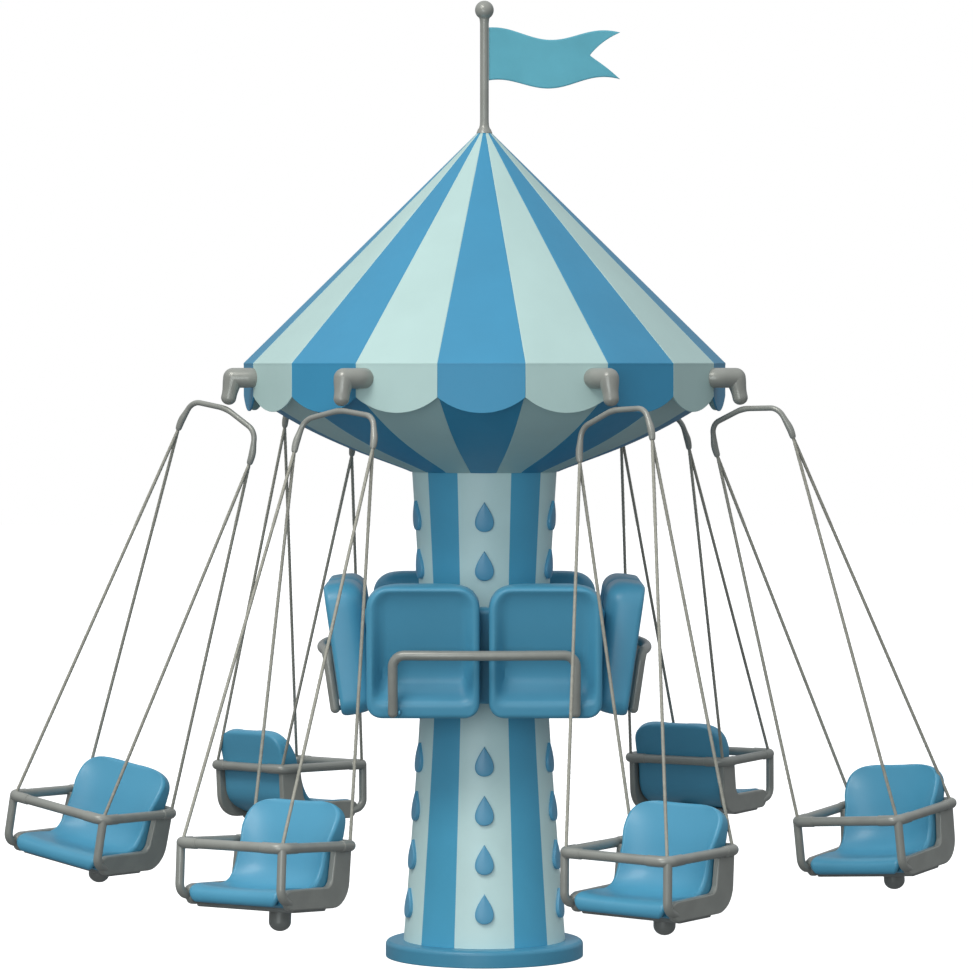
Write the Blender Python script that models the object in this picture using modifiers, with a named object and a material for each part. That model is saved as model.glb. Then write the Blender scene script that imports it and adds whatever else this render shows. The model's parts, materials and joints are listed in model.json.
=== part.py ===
"""A small fairground ride: hanging swing chairs round a striped canopy,
with a drop carriage of eight seats that slides on the waisted tower.

Metres, +Z up. The origin is the middle of the base's underside. A bearing is an
angle round the tower, 0 at the front (-Y) and 90 on the right (+X).
"""
import math

import bmesh
import bpy
from mathutils import Matrix, Vector

# Overall sizes
GAP = 0.0003
DOME_TIP = 0.15
RIM_Z = 2.9665
APEX_Z = 4.132
CANOPY_TURN = -0.65
PANELS = 18

# Base and tower
BASE_RADIUS = 0.495
BASE_HEIGHT = 0.085
BASE_EDGE = 0.022
TOWER_TOP_Z = 2.540
WAIST_RADIUS = 0.315
WAIST_Z = 1.4665
WAIST_SOFTNESS = 0.30
FLARE_MEAN = -0.00589
FLARE_HALF = 0.0736

# Canopy
ROOF_RADIUS = 1.203
ROOF_THICKNESS = 0.030
ROOF_LIP = 0.012
ROOF_HOLE = 0.0245
VALANCE_RADIUS = 1.197
VALANCE_THICKNESS = 0.010
VALANCE_NOTCH = 0.158
VALANCE_DEPTH = 0.233
SCALLOP_STEPS = 5
FUNNEL_PROFILE = ((1.1865, 0.150), (0.920, 0.308), (0.680, 0.420), (0.420, 0.518), (0.376, 0.536))
FUNNEL_THICKNESS = 0.015
HUB_RADIUS = 0.200
HUB_TOP_Z = 3.020
HUB_PLATE = 0.050
HUB_PLATE_RADIUS = 0.340
POLE_RADIUS = 0.0218
POLE_TOP_Z = 4.690
FINIAL_RADIUS = 0.047
FINIAL_Z = 4.731

# Flag, flying to the right; its middle line waves and its width shrinks
FLAG_START_X = 0.0225
FLAG_THICKNESS = 0.012
FLAG_LENGTH = 0.6555
FLAG_NOTCH_X = 0.527
FLAG_STEPS = 14
FLAG_Z = 4.488
FLAG_HALF_WIDTH = 0.132
FLAG_TAPER = 0.0155
FLAG_WAVE = 0.027
FLAG_WAVE_TURN = 7.627
FLAG_WAVE_START = -1.984

# Swing arms and hangers
ARM_RADIUS = 0.049
LEG_RADIUS = 0.038
ARM_Z = RIM_Z - 0.068
PIVOT_RADIUS = 1.334
PIVOT_Z = RIM_Z - 0.222
ARM_INNER_END = 0.206
ARM_HOLE = 0.0500
ARM_HOLE_REACH = (1.05, 1.30)
ARM_BEND_REACH = 1.222
ARM_BEND_RADIUS = 0.080
ELBOW_RADIUS = 0.054
ELBOW_STEPS = 5
LEG_LEAN = 13.0
LEG_END_GAP = 0.0235
YOKE_RADIUS = 0.0135
YOKE_SWELL = 1.4
YOKE_SWELL_REACH = 0.22
YOKE_HALF_WIDTH = 0.235
YOKE_DROP = 0.150
YOKE_SHOULDER = 0.205
YOKE_ARCH = 0.036
YOKE_CORNER = 0.070
ROPE_STANDOFF = 0.008
ROPE_RADIUS = 0.008
ROPE_LENGTH = 2.11
FERRULE_RADIUS = 0.0170
FERRULE_LENGTH = 0.085
FERRULE_SHAPE = ((-0.5, 0.8), (-0.2, 1.0), (0.2, 1.0), (0.5, 0.75))

# Swing chair
RING_HALF = 0.293
RING_RADIUS = 0.0235
RING_CORNER = 0.050
FRONT_BAR_RADIUS = 0.021
FRONT_BAR_INSET = 0.010
FRONT_BAR_CORNER = 0.055
FRONT_BAR_SIDE = ((-0.281, -0.004), (-0.281, -0.225), (-0.170, -0.262))
CHEEK_INNER = 0.2535
CHEEK_OUTER = 0.2880
SHELL_HALF_WIDTH = 0.2515
SHELL_COLUMNS = 4
SHELL_REAR_SHARE = 0.985
SHELL_CROWN = 0.024
SHELL_LIP_SHARE = 0.12
SHELL_LIP_WIDTH = 0.92
SHELL_TOP_SHARE = 0.20
SHELL_TOP_WIDTH = 0.74
KNOB_RADIUS = 0.052
KNOB_PLACE = 0.130
KNOB_TOP = -0.270
KNOB_BOTTOM = -0.417
KNOB_TIP = 0.039

# The moulded shell from its front lip to its top, as (back, up) of its middle from the
# middle of the guard ring, how far its sides stand up from there, and its thickness
SHELL_STATIONS = (
    (-0.254, -0.246, 0.000, 0.026),
    (-0.247, -0.216, 0.004, 0.034),
    (-0.205, -0.200, 0.010, 0.042),
    (-0.110, -0.205, 0.016, 0.045),
    (0.005, -0.212, 0.022, 0.045),
    (0.085, -0.194, 0.040, 0.072),
    (0.145, -0.135, 0.056, 0.100),
    (0.180, -0.045, 0.060, 0.078),
    (0.205, 0.055, 0.048, 0.055),
    (0.228, 0.150, 0.020, 0.046),
    (0.236, 0.190, 0.006, 0.030),
)
# Side views of the chair's cheeks and bottom plate, as (back, up)
CHEEK_SIDE = (
    (-0.250, -0.215), (-0.235, -0.268), (-0.190, -0.286), (0.110, -0.286), (0.180, -0.266), (0.232, -0.215),
    (0.262, -0.140), (0.278, -0.060), (0.282, -0.008), (0.178, -0.008), (0.165, -0.090), (0.128, -0.148),
    (0.070, -0.178), (-0.200, -0.190),
)
PLATE_SIDE = ((-0.150, -0.289), (0.200, -0.289), (0.200, -0.260), (-0.150, -0.260))

# Name, bearings of the arm at the valance and of its end, tilt and bearing of the ropes,
# bearing the bow faces, bearing the chair faces, and how far the guard ring tips up on
# its outer side
SWINGS = (
    ("left_outer", -70.8, -71.8, 20.8, -114.3, -33.0, -33.0, 9.6),
    ("left_front", -28.6, -30.9, 18.9, -28.1, -36.7, -32.1, 3.7),
    ("right_front", 25.8, 27.05, 16.1, 15.7, -45.0, -35.4, -1.3),
    ("right_outer", 69.0, 71.9, 18.9, 102.8, -36.5, -34.1, 5.8),
    ("back_right", 143.0, 139.6, 25.7, 160.5, 134.0, 150.2, 0.6),
    ("back_left", -143.0, -140.2, 22.8, -165.6, 139.4, 131.6, -1.4),
)

# Drop carriage
SEAT_LEAN = 8.3
SEAT_WIDTH = 0.550
SEAT_HEIGHT = 0.652
SEAT_THICKNESS = 0.180
SEAT_CORNER = 0.100
SEAT_EDGE = 0.040
SEAT_OFFSET = 0.2975
SEAT_RIM = 0.034
SEAT_HOLLOW_EDGE = 0.030
MITRE_GAP = 0.0015
MITRE_SIZE = 0.6
SEAT_LIP_OUT = 0.696
SEAT_BOTTOM_Z = RIM_Z - 1.725
COLLAR_HOLE = 0.430
COLLAR_HOLE_OVERRUN = 0.1
COLLAR_CORNER = 0.050
COLLAR_BOTTOM_Z = RIM_Z - 1.665
COLLAR_TOP_Z = RIM_Z - 1.190
LAP_RADIUS = 0.0243
LAP_HALF_WIDTH = 0.443
LAP_TOP_Z = RIM_Z - 1.408
LAP_PIVOT_Z = RIM_Z - 1.690
LAP_STANDOFF = 0.031
LAP_BULGE = 0.038
LAP_CORNER = 0.060
LAP_STEPS = 4
LAP_LUG_RADIUS = 0.020
LAP_LUG_WIDTH = 0.016
LAP_LUG_LENGTH = 0.060
LAP_LUG_GAP = 0.0015

# Side view of the hollow in a drop seat, as (inward, up) from the front of its rim
SEAT_RECESS = ((-0.05, 0.600), (0.030, 0.600), (0.118, 0.225), (0.112, 0.180), (-0.05, 0.062))
SIDES = (("front", 0), ("right", 90), ("back", 180), ("left", -90))

for old in list(bpy.data.objects):
    bpy.data.objects.remove(old, do_unlink=True)

model = bpy.data.collections.new("swing_and_drop_tower_ride")
guides = bpy.data.collections.new("cutters")
bpy.context.scene.collection.children.link(model)
bpy.context.scene.collection.children.link(guides)


def paint(name, colour, roughness=0.4, metallic=0.0):
    """A plain painted, metal or plastic finish."""
    material = bpy.data.materials.new(name)
    material.use_nodes = True
    shader = material.node_tree.nodes["Principled BSDF"]
    shader.inputs["Base Color"].default_value = (*colour, 1.0)
    shader.inputs["Roughness"].default_value = roughness
    shader.inputs["Metallic"].default_value = metallic
    return material


CANOPY_BLUE = paint("canopy_blue", (0.070, 0.370, 0.620), 0.55)
CANOPY_PALE = paint("canopy_pale", (0.640, 0.780, 0.740), 0.55)
TOWER_PALE = paint("tower_pale", (0.420, 0.600, 0.600), 0.50)
BASE_BLUE = paint("base_blue", (0.050, 0.260, 0.450), 0.45)
SEAT_BLUE = paint("seat_blue", (0.080, 0.330, 0.540), 0.25)
GREY_STEEL = paint("grey_steel", (0.210, 0.215, 0.190), 0.35, 0.6)
ROPE_GREY = paint("rope_grey", (0.280, 0.270, 0.240), 0.80)
FLAG_TURQUOISE = paint("flag_turquoise", (0.130, 0.450, 0.560), 0.70)


def direction(bearing):
    """Level unit vector that points outward at this bearing."""
    angle = math.radians(bearing)
    return Vector((math.sin(angle), -math.cos(angle), 0.0))


def turned(bearing):
    """Rotation that takes the front (-Y) to this bearing."""
    return Matrix.Rotation(math.radians(bearing), 4, "Z")


def new_object(name, mesh, material, collection=model):
    obj = bpy.data.objects.new(name, mesh)
    collection.objects.link(obj)
    if material and not mesh.materials:
        mesh.materials.append(material)
    return obj


def mesh_from(bm, name):
    mesh = bpy.data.meshes.new(name)
    bmesh.ops.recalc_face_normals(bm, faces=bm.faces)
    bm.to_mesh(mesh)
    bm.free()
    return mesh


def hide_as_cutter(obj):
    obj.hide_render = True
    obj.display_type = "WIRE"


def baked(obj, name):
    """The object's evaluated mesh with its caps welded; the object is removed."""
    bpy.context.view_layer.update()
    evaluated = obj.evaluated_get(bpy.context.evaluated_depsgraph_get())
    mesh = bpy.data.meshes.new_from_object(evaluated)
    mesh.name = name
    bm = bmesh.new()
    bm.from_mesh(mesh)
    bmesh.ops.remove_doubles(bm, verts=bm.verts, dist=0.00002)
    bmesh.ops.transform(bm, matrix=obj.matrix_world, verts=bm.verts)
    bm.to_mesh(mesh)
    bm.free()
    bpy.data.objects.remove(obj, do_unlink=True)
    return mesh


def smooth(mesh, angle=40):
    mesh.shade_smooth()
    mesh.set_sharp_from_angle(angle=math.radians(angle))


def rounded_path(corners, radius, steps=4, cyclic=False):
    """Corner points joined by straight runs, with an arc of this radius at each bend."""
    points = []
    count = len(corners)
    for index, corner in enumerate(corners):
        if not cyclic and index in (0, count - 1):
            points.append(Vector(corner))
            continue
        here = Vector(corner)
        before = (Vector(corners[index - 1]) - here).normalized()
        after = (Vector(corners[(index + 1) % count]) - here).normalized()
        half = before.angle(after) / 2
        reach = radius / math.tan(half)
        middle = here + (before + after).normalized() * (radius / math.sin(half))
        start = here + before * reach - middle
        end = here + after * reach - middle
        turn = start.angle(end)
        for step in range(steps + 1):
            share = step / steps
            spoke = start * math.sin((1 - share) * turn) + end * math.sin(share * turn)
            points.append(middle + spoke / math.sin(turn))
    return points


def tube(name, points, radius, cyclic=False, resolution=2, radii=None):
    """Closed mesh of a round tube along these points."""
    data = bpy.data.curves.new(name, "CURVE")
    data.dimensions = "3D"
    data.bevel_depth = radius
    data.bevel_resolution = resolution
    data.use_fill_caps = not cyclic
    spline = data.splines.new("POLY")
    spline.points.add(len(points) - 1)
    for index, point in enumerate(points):
        spline.points[index].co = (*point, 1.0)
        spline.points[index].radius = radii[index] if radii else 1.0
    spline.use_cyclic_u = cyclic
    curve = bpy.data.objects.new(name, data)
    guides.objects.link(curve)
    mesh = baked(curve, name)
    smooth(mesh, 50)
    return mesh


def dome(end, before, radius, steps=3):
    """Points and tube radii that close a tube past its last point with a round end."""
    along = (Vector(end) - Vector(before)).normalized()
    turns = [math.radians(90 * step / steps) for step in range(1, steps + 1)]
    points = [Vector(end) + along * (radius * math.sin(turn)) for turn in turns]
    return points, [max(math.cos(turn), DOME_TIP) for turn in turns]


def lathe(name, profile, steps=48):
    """Closed mesh of a profile (radius, height), outer side first, turned about Z."""
    bm = bmesh.new()
    verts = [bm.verts.new((radius, 0.0, height)) for radius, height in profile]
    for first, second in zip(verts, verts[1:]):
        bm.edges.new((first, second))
    closed = profile[0][0] > 0 or profile[-1][0] > 0
    if closed and profile[0] != profile[-1]:
        bm.edges.new((verts[-1], verts[0]))
    mesh = bpy.data.meshes.new(name)
    bm.to_mesh(mesh)
    bm.free()
    obj = bpy.data.objects.new(name, mesh)
    guides.objects.link(obj)
    screw = obj.modifiers.new("turn", "SCREW")
    screw.steps = steps
    screw.render_steps = steps
    screw.use_merge_vertices = True
    screw.merge_threshold = 0.00005
    result = baked(obj, name)
    bm = bmesh.new()
    bm.from_mesh(result)
    bmesh.ops.recalc_face_normals(bm, faces=bm.faces)
    bm.to_mesh(result)
    bm.free()
    smooth(result)
    return result


def joined(name, meshes):
    """Boolean union of closed meshes into one body."""
    base = bpy.data.objects.new(name, meshes[0])
    guides.objects.link(base)
    extras = []
    for index, mesh in enumerate(meshes[1:]):
        extra = bpy.data.objects.new(f"{name}_piece_{index}", mesh)
        guides.objects.link(extra)
        hide_as_cutter(extra)
        extras.append(extra)
        union = base.modifiers.new(f"union_{index}", "BOOLEAN")
        union.operation = "UNION"
        union.solver = "EXACT"
        union.object = extra
    result = baked(base, name)
    for extra in extras:
        bpy.data.objects.remove(extra, do_unlink=True)
    smooth(result)
    return result


def cut(name, mesh, cutters):
    """The mesh with each closed cutter mesh taken out of it."""
    base = bpy.data.objects.new(name, mesh)
    guides.objects.link(base)
    extras = []
    for index, cutter in enumerate(cutters):
        extra = bpy.data.objects.new(f"{name}_cutter_{index}", cutter)
        guides.objects.link(extra)
        hide_as_cutter(extra)
        extras.append(extra)
        difference = base.modifiers.new(f"cut_{index}", "BOOLEAN")
        difference.operation = "DIFFERENCE"
        difference.solver = "EXACT"
        difference.object = extra
    result = baked(base, name)
    for extra in extras:
        bpy.data.objects.remove(extra, do_unlink=True)
    smooth(result)
    return result


def outline_prism(name, outline, low, high, edge=0.0, segments=2):
    """Closed prism of an (x, z) outline between y = low and y = high, edges rounded."""
    bm = bmesh.new()
    bottom = bm.faces.new([bm.verts.new((x, low, z)) for x, z in outline])
    extruded = bmesh.ops.extrude_face_region(bm, geom=[bottom])
    moved = [item for item in extruded["geom"] if isinstance(item, bmesh.types.BMVert)]
    bmesh.ops.translate(bm, verts=moved, vec=(0.0, high - low, 0.0))
    bmesh.ops.recalc_face_normals(bm, faces=bm.faces)
    if edge:
        rims = [e for e in bm.edges if len({round(v.co.y, 5) for v in e.verts}) == 1]
        bmesh.ops.bevel(bm, geom=rims, offset=edge, segments=segments, profile=0.5, affect="EDGES")
    mesh = mesh_from(bm, name)
    smooth(mesh)
    return mesh


def cylinder(name, radius, start, end, segments=16):
    """Closed round bar between two points."""
    axis = Vector(end) - Vector(start)
    middle = (Vector(start) + Vector(end)) / 2
    placed = Matrix.Translation(middle) @ axis.to_track_quat("Z", "Y").to_matrix().to_4x4()
    bm = bmesh.new()
    bmesh.ops.create_cone(bm, cap_ends=True, segments=segments, radius1=radius, radius2=radius,
                          depth=axis.length, matrix=placed)
    mesh = mesh_from(bm, name)
    smooth(mesh)
    return mesh


def ball(name, radius, centre, segments=16, rings=8):
    bm = bmesh.new()
    bmesh.ops.create_uvsphere(bm, u_segments=segments, v_segments=rings, radius=radius,
                              matrix=Matrix.Translation(centre))
    mesh = mesh_from(bm, name)
    smooth(mesh, 60)
    return mesh


def empty(name, matrix):
    """A guide that stands on a joint's axis."""
    obj = bpy.data.objects.new(name, None)
    obj.empty_display_size = 0.1
    guides.objects.link(obj)
    obj.matrix_world = matrix
    return obj


def hold(obj, parent, matrix=Matrix.Identity(4)):
    """Place the object in world space under its joint's empty."""
    bpy.context.view_layer.update()
    obj.parent = parent
    obj.matrix_parent_inverse = parent.matrix_world.inverted()
    obj.matrix_basis = matrix


def tower_radius(height):
    """Half width of the waisted tower at this height."""
    rise = height - WAIST_Z
    flare = math.sqrt(rise * rise + WAIST_SOFTNESS ** 2) - WAIST_SOFTNESS
    return WAIST_RADIUS + FLARE_MEAN * rise + FLARE_HALF * flare


def make_base():
    profile = [(0.0, BASE_HEIGHT)]
    for step in range(4):
        angle = math.radians(90 - 30 * step)
        profile.append((BASE_RADIUS - BASE_EDGE + BASE_EDGE * math.cos(angle),
                        BASE_HEIGHT - BASE_EDGE + BASE_EDGE * math.sin(angle)))
    profile += [(BASE_RADIUS, 0.0), (0.0, 0.0)]
    return new_object("base_plinth", lathe("base_plinth", profile, 40), BASE_BLUE)


def make_tower():
    foot = BASE_HEIGHT + GAP
    levels = 9
    heights = [TOWER_TOP_Z + (foot - TOWER_TOP_Z) * step / levels for step in range(levels + 1)]
    profile = [(0.0, TOWER_TOP_Z)]
    profile += [(tower_radius(height), height) for height in heights]
    profile.append((0.0, foot))
    return new_object("tower_column", lathe("tower_column", profile, 32), TOWER_PALE)


def make_roof(spin):
    slope = (ROOF_RADIUS - ROOF_HOLE) / (APEX_Z - RIM_Z - ROOF_LIP)
    inner_top = RIM_Z + (ROOF_RADIUS - ROOF_THICKNESS - ROOF_HOLE) / slope
    profile = [
        (ROOF_HOLE, APEX_Z),
        (ROOF_RADIUS, RIM_Z + ROOF_LIP),
        (ROOF_RADIUS, RIM_Z),
        (ROOF_RADIUS - ROOF_THICKNESS, RIM_Z),
        (ROOF_HOLE, inner_top),
    ]
    mesh = lathe("roof_cone", profile, PANELS)
    mesh.shade_flat()
    hold(new_object("roof_cone", mesh, CANOPY_BLUE), spin, turned(CANOPY_TURN))


def make_valance(spin, arm_cutters):
    """Skirt of flat panels, each ending in one round scallop."""
    step_angle = 2 * math.pi / PANELS
    top = RIM_Z - GAP
    chord = 2 * VALANCE_RADIUS * math.sin(step_angle / 2)
    drop = VALANCE_DEPTH - VALANCE_NOTCH
    arc_radius = (chord * chord / 4 + drop * drop) / (2 * drop)
    half_arc = math.asin(chord / 2 / arc_radius)
    bm = bmesh.new()
    corners = []
    for index in range(PANELS):
        angle = index * step_angle
        x = VALANCE_RADIUS * math.cos(angle)
        y = VALANCE_RADIUS * math.sin(angle)
        corners.append((bm.verts.new((x, y, top)), bm.verts.new((x, y, top - VALANCE_NOTCH))))
    for index in range(PANELS):
        top_a, notch_a = corners[index]
        top_b, notch_b = corners[(index + 1) % PANELS]
        curve = []
        for step in range(1, SCALLOP_STEPS):
            angle = half_arc * (1 - 2 * step / SCALLOP_STEPS)
            share = 0.5 - arc_radius * math.sin(angle) / chord
            sag = arc_radius * (math.cos(angle) - math.cos(half_arc))
            place = notch_a.co.lerp(notch_b.co, share)
            curve.append(bm.verts.new((place.x, place.y, place.z - sag)))
        bm.faces.new([top_b, top_a, notch_a, *curve, notch_b])
    mesh = mesh_from(bm, "valance")
    skin = bpy.data.objects.new("valance_skin", mesh)
    guides.objects.link(skin)
    solid = skin.modifiers.new("thickness", "SOLIDIFY")
    solid.thickness = VALANCE_THICKNESS
    solid.offset = -1.0
    solid.use_even_offset = True
    thick = baked(skin, "valance")
    thick.shade_flat()
    mesh = cut("valance", thick, arm_cutters)
    mesh.shade_flat()
    hold(new_object("valance", mesh, CANOPY_PALE), spin, turned(CANOPY_TURN))


def make_funnel(spin):
    lower = [(radius, RIM_Z - drop) for radius, drop in FUNNEL_PROFILE]
    upper = [(radius, height + FUNNEL_THICKNESS) for radius, height in lower]
    mesh = lathe("canopy_underside", upper[::-1] + lower, PANELS)
    mesh.shade_flat()
    hold(new_object("canopy_underside", mesh, CANOPY_BLUE), spin, turned(CANOPY_TURN))


def make_hub(spin):
    """Turntable that rests on the tower and carries the arms, and the mast on top of it."""
    plate_z = TOWER_TOP_Z + GAP
    deck_z = plate_z + HUB_PLATE
    hub = lathe("canopy_hub", [(0.0, HUB_TOP_Z), (HUB_RADIUS, HUB_TOP_Z), (HUB_RADIUS, deck_z),
                               (HUB_PLATE_RADIUS, deck_z), (HUB_PLATE_RADIUS, plate_z), (0.0, plate_z)], 24)
    hold(new_object("canopy_hub", hub, GREY_STEEL), spin)
    pole = lathe("flagpole", [(0.0, POLE_TOP_Z), (POLE_RADIUS, POLE_TOP_Z), (POLE_RADIUS, HUB_TOP_Z + GAP),
                              (0.0, HUB_TOP_Z + GAP)], 16)
    finial = ball("finial", FINIAL_RADIUS, (0.0, 0.0, FINIAL_Z), 16, 10)
    mast = joined("flagpole", [pole, finial])
    hold(new_object("flagpole", mast, GREY_STEEL), spin)


def flag_edges(share):
    """Top and bottom height of the flag at this share of its length."""
    wave = math.sin(share * FLAG_WAVE_TURN + FLAG_WAVE_START)
    middle = FLAG_Z - FLAG_WAVE * wave
    half = FLAG_HALF_WIDTH - FLAG_TAPER * (1 - (1 - share) ** 2)
    return middle + half, middle - half


def make_flag(spin):
    upper = []
    lower = []
    for step in range(FLAG_STEPS + 1):
        share = step / FLAG_STEPS
        high, low = flag_edges(share)
        x = FLAG_START_X + FLAG_LENGTH * share
        upper.append((x, high))
        lower.append((x, low))
    notch_share = (FLAG_NOTCH_X - FLAG_START_X) / FLAG_LENGTH
    notch = (FLAG_NOTCH_X, sum(flag_edges(notch_share)) / 2)
    outline = lower + [notch] + upper[::-1]
    mesh = outline_prism("flag", outline, -FLAG_THICKNESS / 2, FLAG_THICKNESS / 2)
    hold(new_object("flag", mesh, FLAG_TURQUOISE), spin)


def pivot_point(bearing):
    return direction(bearing) * PIVOT_RADIUS + Vector((0.0, 0.0, PIVOT_Z))


def make_arm(name, root, bearing, spin):
    """Sweep from the hub out through the valance, aside, then down to the chair's pivot."""
    lean = math.radians(LEG_LEAN)
    along = direction(bearing) * math.sin(lean) - Vector((0.0, 0.0, math.cos(lean)))
    tip = pivot_point(bearing) - along * (LEG_END_GAP + LEG_RADIUS)
    elbow = tip - along * ((ARM_Z - tip.z) / math.cos(lean))
    start, bend = [direction(root) * reach + Vector((0.0, 0.0, ARM_Z))
                   for reach in (ARM_INNER_END, ARM_BEND_REACH)]
    path = rounded_path([start, bend, elbow], ARM_BEND_RADIUS, 2)[:-1]
    radii = [1.0] * len(path)
    path += rounded_path([path[-1], elbow, tip], ELBOW_RADIUS, ELBOW_STEPS)[1:]
    slim = LEG_RADIUS / ARM_RADIUS
    radii += [1.0 + (slim - 1.0) * step / ELBOW_STEPS for step in range(ELBOW_STEPS + 1)] + [slim]
    round_end, shares = dome(tip, elbow, LEG_RADIUS)
    radii += [share * slim for share in shares]
    mesh = tube(f"arm_{name}", path + round_end, ARM_RADIUS, radii=radii)
    hold(new_object(f"arm_{name}", mesh, GREY_STEEL), spin)


def side_prism(name, outline, half_width, edge=0.0):
    """Closed prism of a (y, z) side view, across the middle of the piece."""
    mesh = outline_prism(name, outline, -half_width, half_width, edge)
    mesh.transform(Matrix.Rotation(math.radians(90), 4, "Z"))
    return mesh


def loft(name, rings):
    """Closed skin over a row of closed rings that have the same number of points."""
    bm = bmesh.new()
    loops = [[bm.verts.new(point) for point in ring] for ring in rings]
    for low, high in zip(loops, loops[1:]):
        for index, vert in enumerate(low):
            after = (index + 1) % len(low)
            bm.faces.new((vert, low[after], high[after], high[index]))
    bm.faces.new(loops[0])
    bm.faces.new(loops[-1])
    mesh = mesh_from(bm, name)
    smooth(mesh)
    return mesh


def chair_shell_mesh():
    """Moulded bucket: dished on the inside, flat across the back, lofted from lip to top."""
    side = [Vector((0.0, back, up)) for back, up, dish, body in SHELL_STATIONS]
    lengths = [0.0]
    for first, second in zip(side, side[1:]):
        lengths.append(lengths[-1] + (second - first).length)
    rings = []
    for row, (place, station) in enumerate(zip(side, SHELL_STATIONS)):
        along = (side[min(row + 1, len(side) - 1)] - side[max(row - 1, 0)]).normalized()
        inward = Vector((0.0, -along.z, along.y))
        half = chair_half_width(lengths[row] / lengths[-1])
        crown = SHELL_CROWN if row == len(side) - 1 else 0.0
        ring = []
        for column in range(SHELL_COLUMNS + 1):
            across = 2 * column / SHELL_COLUMNS - 1
            lift = station[2] * abs(across) ** 3
            sink = crown * across * across
            ring.append(place + Vector((half * across, 0.0, 0.0)) + inward * lift - along * sink)
        rear = place - inward * station[3] - along * crown
        rear_half = Vector((half * SHELL_REAR_SHARE, 0.0, 0.0))
        rings.append(ring + [rear + rear_half, rear - rear_half])
    return loft("chair_shell", rings)


def chair_half_width(share):
    """Half width of the shell along its length: rounded at the lip and at the top."""
    lip = min(share / SHELL_LIP_SHARE, 1.0)
    top = min((1.0 - share) / SHELL_TOP_SHARE, 1.0)
    lip_part = SHELL_LIP_WIDTH + (1 - SHELL_LIP_WIDTH) * math.sqrt(1 - (1 - lip) ** 2)
    top_part = SHELL_TOP_WIDTH + (1 - SHELL_TOP_WIDTH) * math.sqrt(1 - (1 - top) ** 2)
    return SHELL_HALF_WIDTH * lip_part * top_part


def chair_frame_mesh():
    """Guard ring, front bars, side cheeks, the plate under the shell and its knob."""
    half = RING_HALF
    corners = [(-half, -half, 0.0), (half, -half, 0.0), (half, half, 0.0), (-half, half, 0.0)]
    ring_path = rounded_path(corners, RING_CORNER, 3, cyclic=True)
    pieces = [tube("guard_ring", ring_path, RING_RADIUS, cyclic=True)]
    cheek_middle = (CHEEK_INNER + CHEEK_OUTER) / 2
    for sign in (-1, 1):
        cheek = side_prism("cheek", CHEEK_SIDE, (CHEEK_OUTER - CHEEK_INNER) / 2)
        cheek.transform(Matrix.Translation((sign * cheek_middle, 0.0, 0.0)))
        pieces.append(cheek)
        bar_x = RING_HALF - FRONT_BAR_INSET
        widths = (bar_x, bar_x, cheek_middle)
        bar = [(sign * width, back, up) for width, (back, up) in zip(widths, FRONT_BAR_SIDE)]
        pieces.append(tube("front_bar", rounded_path(bar, FRONT_BAR_CORNER, 3), FRONT_BAR_RADIUS))
    pieces.append(side_prism("plate", PLATE_SIDE, cheek_middle))
    profile = [(0.0, KNOB_TOP), (KNOB_RADIUS, KNOB_TOP)]
    for step in range(4):
        angle = math.radians(30 * step)
        profile.append((KNOB_RADIUS * math.cos(angle), KNOB_BOTTOM + KNOB_TIP * (1 - math.sin(angle))))
    profile[-1] = (0.0, KNOB_BOTTOM)
    knob = lathe("knob", profile, 12)
    knob.transform(Matrix.Translation((0.0, KNOB_PLACE, 0.0)))
    pieces.append(knob)
    return joined("chair_frame", pieces)


def rope_direction(tilt, bearing):
    """Unit vector down the ropes of a chair that has swung out."""
    angle = math.radians(tilt)
    return direction(bearing) * math.sin(angle) - Vector((0.0, 0.0, math.cos(angle)))


def chair_matrix(centre, facing, ring_tip, bearing):
    """Frame of a swing chair: -Y is the way it faces, +Z up through its ring."""
    angle = math.radians(ring_tip)
    up = Vector((0.0, 0.0, math.cos(angle))) - direction(bearing) * math.sin(angle)
    back = -direction(facing)
    back = (back - up * back.dot(up)).normalized()
    across = back.cross(up)
    rotation = Matrix((across, back, up)).transposed().to_4x4()
    return Matrix.Translation(centre) @ rotation


def bow_half(pivot, ropes, facing, sign):
    """Corners of one half of the bow: its end, its shoulder and its middle."""
    across = direction(facing + 90)
    across = (across - ropes * across.dot(ropes)).normalized() * sign
    end = pivot + across * YOKE_HALF_WIDTH + ropes * YOKE_DROP
    shoulder = pivot + across * YOKE_SHOULDER + ropes * YOKE_ARCH
    return end, shoulder, pivot


def hanger_mesh(pivot, ropes, facing, frame):
    """Bow under the arm and the four ropes down to the guard ring, as one body."""
    corners = [bow_half(pivot, ropes, facing, sign) for sign in (-1, 1)]
    halves = []
    for end, shoulder, middle in corners:
        swell_start = middle.lerp(shoulder, YOKE_SWELL_REACH)
        halves.append(rounded_path([end, shoulder, swell_start], YOKE_CORNER, 5))
    path = halves[0] + [pivot] + halves[1][::-1]
    radii = [1.0] * len(halves[0]) + [YOKE_SWELL] + [1.0] * len(halves[1])
    pieces = [tube("bow", path, YOKE_RADIUS, radii=radii)]
    hitch = RING_HALF - RING_CORNER * (1 - math.sqrt(0.5))
    for (end, shoulder, middle), sign in zip(corners, (-1, 1)):
        down = ((end - shoulder).normalized() + ropes).normalized()
        places = [end + down * (FERRULE_LENGTH * share) for share, size in FERRULE_SHAPE]
        sizes = [size for share, size in FERRULE_SHAPE]
        pieces.append(tube("ferrule", places, FERRULE_RADIUS, radii=sizes))
        for back_sign in (-1, 1):
            target = frame @ Vector((sign * hitch, back_sign * hitch, 0.0))
            along = (target - end).normalized()
            stop = target - along * (RING_RADIUS + ROPE_STANDOFF)
            pieces.append(cylinder("rope", ROPE_RADIUS, end, stop, 8))
    return joined("hanger", pieces)


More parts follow.
